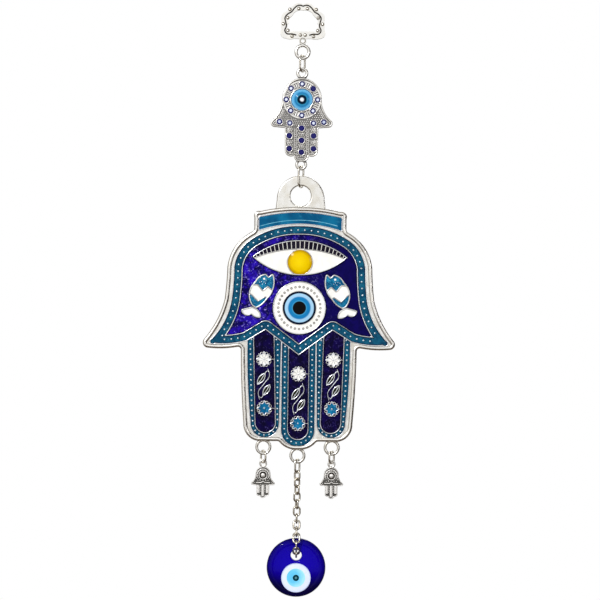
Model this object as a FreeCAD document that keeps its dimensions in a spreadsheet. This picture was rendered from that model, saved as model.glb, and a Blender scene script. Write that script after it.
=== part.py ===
"""A hanging hamsa hand ornament, built from its separate castings, links, enamels and glass.

The ornament hangs in front of a wall. Its front faces -Y, +Z is up, and its origin is the point
inside the top of the hanger that a nail bears on. All sizes are in millimetres.
"""
import FreeCAD, Part
import math
import os
from FreeCAD import Placement, Rotation, Vector

# Driving dimensions, each with the alias that the sheet and the expressions use.
SIZES = {
    "hanger_width": 22.2,
    "hanger_height": 18.4,
    "hanger_band": 3.6,
    "hanger_thickness": 1.8,
    "hanger_eye_drop": 0.8,
    "hanger_neck": 5.6,
    "hanger_eye_radius": 1.9,
    "hanger_eye_hole_radius": 0.9,
    "hanger_ring_radius": 3.3,
    "hanger_ring_wire": 1.7,
    "link_wire": 1.0,
    "upper_link_length": 9.4,
    "upper_link_width": 5.8,
    "middle_link_length": 11.8,
    "middle_link_width": 5.8,
    "charm_link_length": 7.2,
    "charm_link_width": 5.8,
    "drop_link_length": 8.0,
    "drop_link_width": 5.4,
    "link_play": 0.25,
    "link_turn": 60.0,
    "chain_link_length": 5.6,
    "chain_link_width": 4.1,
    "chain_link_wire": 0.95,
    "chain_play": 0.06,
    "chain_link_count": 7,
    "connector_width": 31.4,
    "connector_height": 42.6,
    "connector_thickness": 1.8,
    "connector_top_loop_radius": 2.35,
    "connector_low_loop_radius": 2.3,
    "connector_loop_wire": 1.5,
    "bezel_radius": 9.7,
    "bezel_wire": 0.7,
    "connector_eye_radius": 5.5,
    "connector_eye_ring_radius": 3.9,
    "connector_pupil_radius": 2.2,
    "connector_eye_height": 1.5,
    "crystal_radius": 1.2,
    "crystal_cup_radius": 1.6,
    "crystal_depth": 0.8,
    "crystal_circle_radius": 8.0,
    "hand_width": 97.9,
    "hand_height": 117.3,
    "plate_thickness": 2.8,
    "rim_round": 0.9,
    "corner_round": 1.5,
    "tab_radius": 12.2,
    "tab_thickness": 1.8,
    "tab_hole_radius": 5.2,
    "tab_hole_rise": 1.8,
    "tab_edge_round": 0.75,
    "tab_above_hand": 12.0,
    "collar_width": 47.0,
    "collar_height": 14.7,
    "collar_cell_width": 42.0,
    "cast_loop_radius": 3.4,
    "cast_loop_wire": 1.5,
    "cell_depth": 0.8,
    "enamel_thickness": 0.65,
    "cell_wall": 0.6,
    "border_width": 4.2,
    "eye_ring_radius": 13.4,
    "eye_navy_radius": 8.5,
    "eye_light_radius": 7.4,
    "eye_middle_radius": 5.7,
    "eye_pupil_radius": 3.4,
    "eye_glass_height": 1.1,
    "iris_radius": 6.4,
    "iris_height": 1.2,
    "lash_count": 24,
    "lash_wall": 0.35,
    "flower_radius": 4.1,
    "vine_width": 0.45,
    "charm_width": 12.0,
    "charm_height": 16.0,
    "charm_thickness": 1.6,
    "charm_loop_radius": 1.55,
    "charm_loop_wire": 1.0,
    "bead_radius": 15.0,
    "bead_front_height": 2.7,
    "bead_back_height": 2.6,
    "bead_hole_radius": 2.8,
    "bead_hole_above_centre": 6.3,
    "bead_hole_round": 0.8,
    "bead_hole_slack": 0.6,
    "bead_white_radius": 7.5,
    "bead_sky_radius": 4.7,
    "bead_pupil_radius": 1.6,
    "bead_drop_below_centre": 5.0,
    "bead_drop_height": 0.9,
}

doc = FreeCAD.newDocument("HamsaOrnament")
sheet = doc.addObject("Spreadsheet::Sheet", "Sizes")
for row, (alias, number) in enumerate(SIZES.items(), start=1):
    sheet.set("A%d" % row, alias)
    sheet.set("B%d" % row, str(number))
    sheet.setAlias("B%d" % row, alias)
doc.recompute()


def size(alias):
    """The value of one sheet cell."""
    return float(sheet.get(alias))


def bind(part, **expressions):
    """Bind properties of an object to the sheet; every name in an expression is an alias."""
    for prop, text in expressions.items():
        words = []
        for word in text.replace("(", " ( ").replace(")", " ) ").split():
            words.append("Sizes." + word if word in SIZES else word)
        part.setExpression(prop, " ".join(words))
    return part


def primitive(kind, name, placement, **expressions):
    """A Part primitive at a placement, with its sizes bound to the sheet."""
    part = doc.addObject("Part::" + kind, name)
    part.Placement = placement
    return bind(part, **expressions)


def node_feature(label, shape):
    """A finished sub-part whose shape was made from sheet values."""
    feature = doc.addObject("Part::Feature", label)
    feature.Label = label
    feature.Shape = shape
    nodes.append(feature)
    return feature


nodes = []
AXIS_X, AXIS_Y, AXIS_Z = Vector(1, 0, 0), Vector(0, 1, 0), Vector(0, 0, 1)
FACE_ON = Rotation(AXIS_X, 90)


def flat_edges(table, half_width, height, top):
    """Edges in the XZ plane through a table of shares: a pair is a line's end, and a pair of
    pairs is an arc's middle and end. Shares run right of the axis and down from the top."""
    def place(share):
        return Vector(share[0] * half_width, 0, top - share[1] * height)
    edges, here = [], place(table[0])
    for move in table[1:]:
        if isinstance(move[0], tuple):
            end = place(move[1])
            edges.append(Part.Arc(here, place(move[0]), end).toShape())
        else:
            end = place(move)
            edges.append(Part.makeLine(here, end))
        here = end
    return edges


def closed_face(edges):
    """A flat face inside a closed run of edges."""
    return Part.Face(Part.Wire(Part.__sortEdges__(edges)))


def mirrored(shape):
    """The same shape on the other side of the hanging axis."""
    return shape.mirror(Vector(0, 0, 0), AXIS_X)


def both_sides(shape):
    """A shape left of the hanging axis together with its mirror image."""
    return shape.fuse(mirrored(shape))


def mirrored_face(edges):
    """A face from its right half's edges and their mirror images."""
    return closed_face(edges + [mirrored(edge) for edge in edges])


def grown(face, distance):
    """Flat faces with their outlines moved outwards, or inwards where the distance is negative."""
    moved = [piece.makeOffset2D(distance, 0) for piece in face.Faces]
    return moved[0] if len(moved) == 1 else Part.makeCompound(moved)


def softened(face, radius):
    """A flat face whose corners, both outward and inward, are rounded."""
    return grown(grown(grown(face, radius), -2 * radius), radius)


def without(face, others):
    """A flat face less the other faces."""
    return face.cut(Part.makeCompound(others)) if others else face


def disc(x, z, radius):
    """A round face in the XZ plane."""
    circle = Part.makeCircle(radius, Vector(x, 0, z), AXIS_Y)
    return Part.Face(Part.Wire([circle]))


def slab(face, front, depth):
    """A flat face turned into a solid that runs from its front plane backwards."""
    raised = face.copy()
    raised.translate(Vector(0, front, 0))
    return raised.extrude(Vector(0, depth, 0))


def edges_on_plane(solid, y):
    """The edges of a solid that lie in one plane square to Y."""
    flat = 1e-6 * size("hand_height")
    return [edge for edge in solid.Edges
            if abs(edge.BoundBox.YMin - y) < flat and abs(edge.BoundBox.YMax - y) < flat]


def ring(name, radius, wire, z, x=0.0):
    """A round wire ring that faces the front, given its centreline radius and wire diameter."""
    part = primitive("Torus", name, Placement(Vector(x, 0, z), FACE_ON))
    return bind(part, Radius1=radius, Radius2=wire + " / 2")


# Outlines as shares: of half the width to the right of the axis, and of the height from the top.
HAND_SHARES = [(0, 0), ((0.333, 0.022), (0.578, 0.076)), ((0.696, 0.133), (0.755, 0.211)),
               ((0.763, 0.280), (0.779, 0.350)), ((0.854, 0.437), (0.984, 0.522)),
               ((1.000, 0.543), (0.948, 0.562)), ((0.781, 0.564), (0.604, 0.554)),
               ((0.594, 0.720), (0.568, 0.889)), ((0.526, 0.939), (0.417, 0.964)),
               (0.198, 0.964), ((0.115, 0.992), (0, 1))]
PALM_SHARES = [(0, 0.028), ((0.312, 0.048), (0.521, 0.092)), ((0.635, 0.146), (0.685, 0.211)),
               ((0.690, 0.280), (0.706, 0.350)), ((0.771, 0.439), (0.906, 0.522)),
               ((0.925, 0.538), (0.875, 0.542)), ((0.708, 0.542), (0.542, 0.528)),
               (0.349, 0.478), (0, 0.587)]
COLLAR_SHARES = [(0, -0.427), ((0.478, -0.392), (0.870, -0.278)),
                 ((0.983, -0.219), (1, -0.052)), (1, 0.573), (0, 0.573)]
COLLAR_CELL_SHARES = [(0, -0.243), ((0.485, -0.198), (0.934, -0.087)),
                      ((1, -0.042), (1, 0.052)), (1, 0.375), ((0.485, 0.198), (0, 0.142))]
OUTER_FINGER_SHARES = [(0.179, 0.446), (0.194, 0.889), ((0.344, 0.949), (0.495, 0.885)),
                       ((0.527, 0.720), (0.537, 0.550)), (0.542, 0.446), (0.179, 0.446)]
OUTER_FIELD_SHARES = [(0.263, 0.446), (0.233, 0.889), ((0.340, 0.928), (0.446, 0.880)),
                      (0.477, 0.446), (0.263, 0.446)]
MIDDLE_FINGER_SHARES = [(0, 0.446), (0.179, 0.446), (0.176, 0.915), ((0.121, 0.968), (0, 0.986))]
MIDDLE_FIELD_SHARES = [(0, 0.446), (0.107, 0.446), (0.107, 0.912), ((0.074, 0.944), (0, 0.956))]
EYE_SHARES = [(-0.474, 0.170), ((0, 0.128), (0.474, 0.170)), ((0, 0.241), (-0.474, 0.170))]
LASH_SHARES = [(-0.490, 0.163), ((0, 0.091), (0.490, 0.163)), (0.464, 0.173),
               ((0, 0.128), (-0.464, 0.173)), (-0.490, 0.163)]
FISH_SHARES = [(-0.354, 0.240), (-0.323, 0.254), (-0.281, 0.238), ((-0.273, 0.298), (-0.344, 0.348)),
               ((-0.396, 0.372), (-0.452, 0.385)), (-0.485, 0.377),
               ((-0.521, 0.320), (-0.458, 0.272)),
               ((-0.417, 0.250), (-0.354, 0.240))]
FISH_TAIL_SHARES = [(-0.493, 0.383), ((-0.545, 0.389), (-0.598, 0.395)),
                    ((-0.578, 0.413), (-0.500, 0.411)), ((-0.458, 0.424), (-0.406, 0.427)),
                    ((-0.417, 0.404), (-0.449, 0.391)), (-0.493, 0.383)]
FISH_HEAD_SHARES = [(-0.552, 0.289), (-0.438, 0.285), (-0.383, 0.313), (-0.331, 0.293), (-0.240, 0.324),
                    (-0.240, 0.220), (-0.552, 0.220), (-0.552, 0.289)]
FISH_REAR_SHARES = [(-0.552, 0.317), (-0.495, 0.330), (-0.432, 0.357), (-0.359, 0.337), (-0.240, 0.363),
                    (-0.240, 0.400), (-0.552, 0.400), (-0.552, 0.317)]
HANGER_SHARES = [(0, 0.036), ((0.230, 0), (0.460, 0.075)), ((0.598, 0.146), (0.759, 0.240)),
                 ((0.956, 0.323), (0.975, 0.489)), ((1, 0.613), (0.984, 0.738)),
                 ((1, 0.903), (0.782, 0.975)), ((0.598, 1), (0.414, 0.983)), ((0.230, 0.985), (0, 0.992))]
HANGER_OPENING_SHARES = [(0, 0.196), ((0.250, 0.206), (0.430, 0.275)), ((0.530, 0.367), (0.653, 0.417)),
                         ((0.685, 0.489), (0.662, 0.558)), ((0.717, 0.627), (0.662, 0.699)),
                         ((0.653, 0.776), (0.506, 0.785)), (0, 0.785)]
SMALL_HAND_SHARES = [(0, 0), ((0.453, 0.077), (0.638, 0.239)), ((0.700, 0.376), (0.938, 0.502)),
                     ((1.000, 0.544), (0.912, 0.588)), (0.541, 0.600), (0.534, 0.874),
                     ((0.423, 0.933), (0.235, 0.930)), ((0.176, 0.986), (0, 1))]

# Places in the hand, as shares of its half width and its height.
EYE_CENTRE_SHARES = (0, 0.384)
IRIS_CENTRE_SHARES = (0, 0.186)
FLOWER_SHARES = [(-0.361, 0.609, -0.351, 0.822), (0, 0.671, 0, 0.886), (0.361, 0.609, 0.351, 0.822)]
UPPER_LEAF_SHARES = [(0.03, 0.28), (-0.13, 0.52)]
LOWER_LEAF_SHARES = [(0.13, 0.51), (-0.01, 0.74)]
LEAF_BULGE_SHARE = 0.06
VINE_SHARES = [(0.08, 0.19), (0.115, 0.34), (0, 0.51), (-0.105, 0.66), (-0.08, 0.82)]
EYE_DROP_SHARE = 0.262
CRYSTAL_SHARES = [(-0.72, 0.528), (0.72, 0.528), (-0.385, 0.542), (0.385, 0.542), (-0.395, 0.694),
                  (0.395, 0.694), (-0.395, 0.848), (0.395, 0.848), (0, 0.603), (0, 0.748), (0, 0.890)]
EYE_CRYSTALS = 8
LOOP_SHARES = (-0.356, 0, 0.356)
LOOP_SEAT_SHARES = (0.964, 1, 0.964)
PETALS = 8
PETAL_ROOT_SHARE = 0.62
LASH_FAN_DEGREES = 24.0

# Heights of the hanging pieces, worked out from the top down. A link hangs in the ring above it
# with its own wire over the ring's wire, and the play opens the joint a little further.
link_wire = size("link_wire")
cast_seat = (size("cast_loop_wire") + link_wire) / 2 + size("link_play")
loop_seat = (size("connector_loop_wire") + link_wire) / 2 + size("link_play")
eye_z = size("hanger_band") - size("hanger_height") - size("hanger_eye_drop")
hanger_ring_z = eye_z - size("hanger_neck")
upper_pivot_z = hanger_ring_z - size("hanger_ring_radius")
upper_top_z = upper_pivot_z + (size("hanger_ring_wire") + link_wire) / 2 + size("link_play")
connector_pivot_z = upper_top_z - (size("upper_link_length") - link_wire)
top_loop_z = connector_pivot_z + loop_seat - size("connector_top_loop_radius")
connector_top_z = top_loop_z - size("connector_top_loop_radius")
connector_base_z = connector_top_z - size("connector_height")
low_loop_z = connector_base_z - size("connector_low_loop_radius") + size("connector_loop_wire") / 2
middle_pivot_z = low_loop_z - size("connector_low_loop_radius")
middle_top_z = middle_pivot_z + loop_seat
hand_pivot_z = middle_top_z - (size("middle_link_length") - link_wire)
tab_hole_z = hand_pivot_z + link_wire / 2 + size("link_play") - size("tab_hole_radius")
hand_top_z = tab_hole_z - size("tab_above_hand")
hand_half = size("hand_width") / 2
front_y = -size("plate_thickness") / 2


def link(name, length, width, wire, top_z, turn, centre=None, lean=0.0):
    """A stadium link of bent wire, turned about its own length, with its top wire at top_z."""
    wire_radius = wire + " / 2"
    bend_radius = "( %s - %s ) / 2" % (width, wire)
    leg = size(length) - size(width)
    half_leg = AXIS_Z * (leg / 2)
    side = AXIS_X * ((size(width) - size(wire)) / 2)
    top = primitive("Torus", name + "_top_bend", Placement(half_leg, FACE_ON),
                    Radius1=bend_radius, Radius2=wire_radius)
    top.Angle3 = 180
    base = primitive("Torus", name + "_base_bend", Placement(-half_leg, Rotation(AXIS_X, -90)),
                     Radius1=bend_radius, Radius2=wire_radius)
    base.Angle3 = 180
    legs = [primitive("Cylinder", name + "_leg", Placement(place - half_leg, Rotation()),
                      Radius=wire_radius, Height=length + " - " + width) for place in (side, -side)]
    fused = doc.addObject("Part::MultiFuse", name)
    fused.Label = name
    fused.Shapes = [top, base] + legs
    middle = centre or Vector(0, 0, top_z - (size(length) - size(wire)) / 2)
    fused.Placement = Placement(middle, Rotation(AXIS_X, lean).multiply(Rotation(AXIS_Z, turn)))
    return fused


def hanger():
    """The openwork frame, its small eye and the ring below, one casting."""
    thickness, top = size("hanger_thickness"), size("hanger_band")
    outline = mirrored_face(flat_edges(HANGER_SHARES, size("hanger_width") / 2, size("hanger_height"), top))
    opening = mirrored_face(
        flat_edges(HANGER_OPENING_SHARES, size("hanger_width") / 2, size("hanger_height"), top))
    eye = disc(0, eye_z, size("hanger_eye_radius"))
    frame = slab(without(outline.fuse(eye).removeSplitter(), [opening]), -thickness / 2, thickness)
    eye_hole = slab(disc(0, eye_z, size("hanger_eye_hole_radius")), -thickness, 2 * thickness)
    casting = doc.addObject("Part::Feature", "hanger_frame")
    casting.Shape = frame.cut(eye_hole)
    hook_ring = ring("hanger_ring", "hanger_ring_radius", "hanger_ring_wire", hanger_ring_z)
    fused = doc.addObject("Part::MultiFuse", "hanger")
    fused.Shapes = [casting, hook_ring]
    fused.Label = "hanger"
    nodes.append(fused)


def crystal_places():
    """Where the connector's crystals sit: round its eye, in its thumbs and down its fingers."""
    eye_height = connector_top_z - EYE_DROP_SHARE * size("connector_height")
    circle = size("crystal_circle_radius")
    step = 2 * math.pi / EYE_CRYSTALS
    places = [(circle * math.sin(k * step), eye_height + circle * math.cos(k * step))
              for k in range(EYE_CRYSTALS)]
    for x_share, z_share in CRYSTAL_SHARES:
        places.append((x_share * size("connector_width") / 2,
                       connector_top_z - z_share * size("connector_height")))
    return places


def cap_arc(radius, rise, crown):
    """The arc of a ball's cap from its pole, at -Y crown on the axis, out to a radius."""
    ball = (radius ** 2 + rise ** 2) / (2 * rise)
    half_turn = math.asin(radius / ball) / 2
    middle = Vector(ball * math.sin(half_turn), ball * (1 - math.cos(half_turn)) - crown, 0)
    return Part.Arc(Vector(0, -crown, 0), middle, Vector(radius, rise - crown, 0)).toShape()


def spun(profile):
    """The solid that a closed profile beside the Y axis sweeps in a whole turn about it."""
    solid = closed_face(profile).revolve(Vector(0, 0, 0), AXIS_Y, 360)
    if solid.Volume < 0:
        solid.reverse()
    return solid


def dome_layers(labels, x, z, radii, seat_y, edge_height, dome_height):
    """A round domed glass, split into a centre and rings, that stands forward of its seat."""
    outer = radii[0]
    crown = edge_height + dome_height
    profile = [Part.makeLine(Vector(0, 0, 0), Vector(outer, 0, 0)),
               Part.makeLine(Vector(outer, 0, 0), Vector(outer, -edge_height, 0)),
               cap_arc(outer, dome_height, crown),
               Part.makeLine(Vector(0, -crown, 0), Vector(0, 0, 0))]
    dome = spun(profile)
    dome.translate(Vector(x, seat_y, z))
    front, depth = seat_y - 2 * crown, 4 * crown
    for label, radius, inner in zip(labels, radii, list(radii[1:]) + [0]):
        layer = dome.common(slab(disc(x, z, radius), front, depth)) if radius < outer else dome
        if inner:
            layer = layer.cut(slab(disc(x, z, inner), front, depth))
        node_feature(label, layer)


def connector():
    """The small hand plate with its loops, bezel ring, eye and crystals."""
    thickness, half = size("connector_thickness"), size("connector_width") / 2
    front = -thickness / 2
    outline = mirrored_face(flat_edges(SMALL_HAND_SHARES, half, size("connector_height"), connector_top_z))
    plate = slab(outline, front, thickness)
    eye_height = connector_top_z - EYE_DROP_SHARE * size("connector_height")
    wire, stone, stone_depth = size("bezel_wire"), size("crystal_radius"), size("crystal_depth")
    cup_front = front - wire / 2
    bezel = slab(disc(0, eye_height, size("bezel_radius")), cup_front, wire)
    bezel = bezel.cut(slab(disc(0, eye_height, size("bezel_radius") - wire), -thickness, thickness))
    cups, seats, stones = [], [], []
    for x, z in crystal_places():
        cups.append(slab(disc(x, z, size("crystal_cup_radius")), cup_front, wire))
        seats.append(slab(disc(x, z, stone), cup_front - stone_depth, 2 * stone_depth))
        crown = Part.makeCone(stone, stone / 2, stone_depth / 2, Vector(x, cup_front, z), -AXIS_Y)
        girdle = Part.makeCylinder(stone, stone_depth, Vector(x, cup_front, z), AXIS_Y)
        stones.append(girdle.fuse(crown).removeSplitter())
    eye_seat = slab(disc(0, eye_height, size("connector_eye_radius")), -thickness, thickness)
    casting = doc.addObject("Part::Feature", "connector_casting")
    casting.Shape = plate.fuse([bezel] + cups).cut(Part.makeCompound(seats + [eye_seat]))
    loops = [ring("connector_top_loop", "connector_top_loop_radius", "connector_loop_wire", top_loop_z),
             ring("connector_low_loop", "connector_low_loop_radius", "connector_loop_wire", low_loop_z)]
    fused = doc.addObject("Part::MultiFuse", "connector_plate")
    fused.Shapes = [casting] + loops
    fused.Label = "connector_plate"
    nodes.append(fused)
    node_feature("connector_crystals", Part.makeCompound(stones))
    dome_layers(("connector_eye_rim", "connector_eye_ring", "connector_eye_pupil"), 0, eye_height,
                (size("connector_eye_radius"), size("connector_eye_ring_radius"),
                 size("connector_pupil_radius")), 0.0, thickness / 2, size("connector_eye_height"))


def hand_face_of(table, half=True):
    """A face of the hand from a table of shares, from its right half or from its whole outline."""
    edges = flat_edges(table, hand_half, size("hand_height"), hand_top_z)
    return mirrored_face(edges) if half else closed_face(edges)


def hand_point(x_share, z_share):
    """A point of the hand, from shares of its half width and height."""
    return x_share * hand_half, hand_top_z - z_share * size("hand_height")


def flower_face(x, z):
    """A flower with pointed petals."""
    corners = []
    for k in range(2 * PETALS):
        reach = size("flower_radius") * (1 if k % 2 == 0 else PETAL_ROOT_SHARE)
        turn = math.pi * k / PETALS
        corners.append(Vector(x + reach * math.sin(turn), 0, z + reach * math.cos(turn)))
    return Part.Face(Part.makePolygon(corners + corners[:1]))


def leaf_face(x, z, stem, tips):
    """A leaf with two arcs between its tips, placed from the upper flower down the stem."""
    start, end = [Vector(x + a * stem, 0, z - b * stem) for a, b in tips]
    along = end - start
    across = Vector(along.z, 0, -along.x).normalize() * (LEAF_BULGE_SHARE * stem)
    middle = (start + end) * 0.5
    return closed_face([Part.Arc(start, middle + across, end).toShape(),
                        Part.Arc(end, middle - across, start).toShape()])


def vine_face(x, z, stem):
    """The thin S of a stem between two flowers."""
    half = Vector(size("vine_width") / 2, 0, 0)
    a, b, c, d, e = [Vector(x + p * stem, 0, z - q * stem) for p, q in VINE_SHARES]
    return closed_face([Part.Arc(a + half, b + half, c + half).toShape(),
                        Part.Arc(c + half, d + half, e + half).toShape(),
                        Part.makeLine(e + half, e - half),
                        Part.Arc(e - half, d - half, c - half).toShape(),
                        Part.Arc(c - half, b - half, a - half).toShape(),
                        Part.makeLine(a - half, a + half)])


def lash_faces(crescent):
    """The lash band, split by thin ribs that fan out towards its ends."""
    span = 2 * LASH_SHARES[1][1][0] * hand_half
    count = int(size("lash_count"))
    x0, z0 = hand_point(0, LASH_SHARES[0][1])
    reach = LASH_SHARES[0][1] * size("hand_height")
    ribs = []
    for k in range(1, count):
        across = k / count - 0.5
        half_wall = size("lash_wall") / 2
        corners = [Vector(x, 0, z) for x, z in ((-half_wall, -reach), (half_wall, -reach),
                                                (half_wall, reach), (-half_wall, reach))]
        rib = Part.Face(Part.makePolygon(corners + corners[:1]))
        rib.rotate(Vector(0, 0, 0), AXIS_Y, 2 * across * LASH_FAN_DEGREES)
        rib.translate(Vector(across * span, 0, z0))
        ribs.append(rib)
    return crescent.cut(Part.makeCompound(ribs))


def enamel_cells():
    """The flat cell of every enamel, by node name, each a wall away from its neighbours."""
    half = size("cell_wall") / 2
    thin = size("lash_wall") / 2
    palm = hand_face_of(PALM_SHARES)
    eye_x, eye_z_mid = hand_point(*EYE_CENTRE_SHARES)
    iris_x, iris_z = hand_point(*IRIS_CENTRE_SHARES)
    eye_disc = disc(eye_x, eye_z_mid, size("eye_ring_radius"))
    eye_seat = disc(eye_x, eye_z_mid, size("eye_navy_radius"))
    iris = disc(iris_x, iris_z, size("iris_radius"))
    almond = hand_face_of(EYE_SHARES, half=False)
    crescent = hand_face_of(LASH_SHARES, half=False)
    fish = hand_face_of(FISH_SHARES, half=False)
    tail = hand_face_of(FISH_TAIL_SHARES, half=False)
    head_zone = hand_face_of(FISH_HEAD_SHARES, half=False)
    rear_zone = hand_face_of(FISH_REAR_SHARES, half=False)
    fish_head = grown(fish.common(head_zone), -thin)
    fish_rear = grown(fish.common(rear_zone), -thin)
    fish_middle = grown(fish.cut(Part.makeCompound([head_zone, rear_zone])), -thin)
    islands = [grown(shape, thin) for shape in (eye_disc, almond, crescent, fish, tail)]
    islands += [mirrored(islands[3]), mirrored(islands[4])]
    lash_band = without(grown(crescent, -thin), [grown(almond, thin), grown(iris, half)])
    cells = {
        "enamel_collar": mirrored_face(flat_edges(COLLAR_CELL_SHARES, size("collar_cell_width") / 2,
                                                  size("collar_height"), hand_top_z)),
        "enamel_palm_border": without(grown(palm, -half), [grown(palm, half - size("border_width")),
                                                           grown(eye_disc, half)]),
        "enamel_palm_field": without(grown(palm, -half - size("border_width")), islands),
        "enamel_eye_white": grown(almond, -half).cut(grown(iris, half)),
        "enamel_lashes": lash_faces(lash_band),
        "enamel_fish_teal": both_sides(fish_head.fuse(fish_rear)),
        "enamel_fish_white": both_sides(fish_middle.fuse(grown(tail, -thin))),
        "enamel_eye_ring": grown(eye_disc, -half).cut(grown(eye_seat, half)),
    }
    fingers = {"left": mirrored(hand_face_of(OUTER_FINGER_SHARES, half=False)),
               "middle": hand_face_of(MIDDLE_FINGER_SHARES),
               "right": hand_face_of(OUTER_FINGER_SHARES, half=False)}
    fields = {"left": mirrored(hand_face_of(OUTER_FIELD_SHARES, half=False)),
              "middle": hand_face_of(MIDDLE_FIELD_SHARES),
              "right": hand_face_of(OUTER_FIELD_SHARES, half=False)}
    whites, blues, leaves = [], [], []
    for (side, finger), places in zip(fingers.items(), FLOWER_SHARES):
        field = fields[side].cut(palm)
        white_x, white_z = hand_point(*places[:2])
        blue_x, blue_z = hand_point(*places[2:])
        stem = white_z - blue_z
        white, blue = flower_face(white_x, white_z), flower_face(blue_x, blue_z)
        pair_of_leaves = [leaf_face(white_x, white_z, stem, tips)
                          for tips in (UPPER_LEAF_SHARES, LOWER_LEAF_SHARES)]
        taken = [grown(shape, thin) for shape in [white, blue] + pair_of_leaves]
        taken.append(vine_face(white_x, white_z, stem))
        cells["enamel_finger_border_" + side] = grown(finger.cut(palm), -half).cut(grown(field, half))
        cells["enamel_finger_field_" + side] = without(grown(field, -half), taken)
        whites.append(grown(white, -thin))
        blues.append(grown(blue, -thin))
        leaves += [grown(shape, -thin) for shape in pair_of_leaves]
    cells["enamel_flowers_white"] = Part.makeCompound(whites)
    cells["enamel_flowers_blue"] = Part.makeCompound(blues)
    cells["enamel_leaves"] = Part.makeCompound(leaves)
    return cells


def hand():
    """The big hand plate with its tab, collar and cast loops, and the enamels in its cells."""
    thickness = size("plate_thickness")
    collar_face = mirrored_face(flat_edges(COLLAR_SHARES, size("collar_width") / 2,
                                           size("collar_height"), hand_top_z))
    body_face = hand_face_of(HAND_SHARES).fuse(collar_face).removeSplitter()
    body = slab(softened(body_face, size("corner_round")), front_y, thickness)
    body = body.makeFillet(size("rim_round"), edges_on_plane(body, front_y))

    tab_z = tab_hole_z - size("tab_hole_rise")
    tab_foot = hand_top_z - COLLAR_SHARES[0][1] * size("collar_height") / 2
    radius, flare = size("tab_radius"), size("tab_radius") + size("tab_edge_round")
    tab_edges = [Part.Arc(Vector(-radius, 0, tab_z), Vector(0, 0, tab_z + radius),
                          Vector(radius, 0, tab_z)).toShape(),
                 Part.makeLine(Vector(radius, 0, tab_z), Vector(flare, 0, tab_foot)),
                 Part.makeLine(Vector(flare, 0, tab_foot), Vector(-flare, 0, tab_foot)),
                 Part.makeLine(Vector(-flare, 0, tab_foot), Vector(-radius, 0, tab_z))]
    tab_face = closed_face(tab_edges).cut(disc(0, tab_hole_z, size("tab_hole_radius")))
    tab_front = -size("tab_thickness") / 2
    tab = slab(tab_face, tab_front, size("tab_thickness"))
    tab = tab.makeFillet(size("tab_edge_round"),
                         edges_on_plane(tab, tab_front) + edges_on_plane(tab, -tab_front))

    cells = enamel_cells()
    eye_x, eye_mid = hand_point(*EYE_CENTRE_SHARES)
    iris_x, iris_z = hand_point(*IRIS_CENTRE_SHARES)
    depth = size("cell_depth")
    seats = [slab(face, front_y - depth, 2 * depth) for face in cells.values()]
    seats.append(slab(disc(eye_x, eye_mid, size("eye_navy_radius")), front_y - depth, 2 * depth))
    seats.append(slab(disc(iris_x, iris_z, size("iris_radius")), front_y - depth, 2 * depth))
    casting = doc.addObject("Part::Feature", "hand_casting")
    casting.Shape = body.fuse(tab).cut(seats)

    loops = []
    for x_share, seat_share in zip(LOOP_SHARES, LOOP_SEAT_SHARES):
        loops.append(ring("cast_loop", "cast_loop_radius", "cast_loop_wire",
                          cast_loop_z(seat_share), x_share * hand_half))
    fused = doc.addObject("Part::MultiFuse", "hand_plate")
    fused.Shapes = [casting] + loops
    fused.Label = "hand_plate"
    nodes.append(fused)

    floor_y = front_y + depth
    for label, face in cells.items():
        node_feature(label, slab(face, floor_y - size("enamel_thickness"), size("enamel_thickness")))
    dome_layers(("eye_navy", "eye_light", "eye_middle", "eye_pupil"), eye_x, eye_mid,
                (size("eye_navy_radius"), size("eye_light_radius"), size("eye_middle_radius"),
                 size("eye_pupil_radius")), floor_y, depth, size("eye_glass_height"))
    dome_layers(("eye_iris",), iris_x, iris_z, (size("iris_radius"),), floor_y, depth, size("iris_height"))


def cast_loop_z(seat_share):
    """The height of a cast loop's centre, its top let into the hand's lower rim."""
    rim_z = hand_top_z - seat_share * size("hand_height")
    return rim_z - size("cast_loop_radius") + size("cast_loop_wire") / 4


def charm(label, x, top_z):
    """A small hand charm with its loop, in one casting."""
    thickness = size("charm_thickness")
    loop_z = top_z - size("charm_loop_radius")
    hand_z = loop_z - size("charm_loop_radius")
    outline = mirrored_face(flat_edges(SMALL_HAND_SHARES, size("charm_width") / 2,
                                       size("charm_height"), hand_z))
    outline.translate(Vector(x, 0, 0))
    plate = doc.addObject("Part::Feature", label + "_casting")
    plate.Shape = slab(outline, -thickness / 2, thickness)
    loop = ring(label + "_loop", "charm_loop_radius", "charm_loop_wire", loop_z, x)
    fused = doc.addObject("Part::MultiFuse", label)
    fused.Shapes = [plate, loop]
    fused.Label = label
    nodes.append(fused)


def charms():
    """The two charm links in the outer cast loops and the charms that hang from them."""
    pivot_z = cast_loop_z(LOOP_SEAT_SHARES[0]) - size("cast_loop_radius")
    link_top = pivot_z + cast_seat
    charm_pivot_z = link_top - (size("charm_link_length") - link_wire)
    charm_top = charm_pivot_z + (link_wire + size("charm_loop_wire")) / 2 + size("link_play")
    for side, x_share in (("left", LOOP_SHARES[0]), ("right", LOOP_SHARES[2])):
        x = x_share * hand_half
        middle = Vector(x, 0, link_top - (size("charm_link_length") - link_wire) / 2)
        turn = size("link_turn") if side == "right" else 180 - size("link_turn")
        nodes.append(link(side + "_charm_link", "charm_link_length", "charm_link_width",
                          "link_wire", link_top, turn, middle))
        charm(side + "_charm", x, charm_top)


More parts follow.
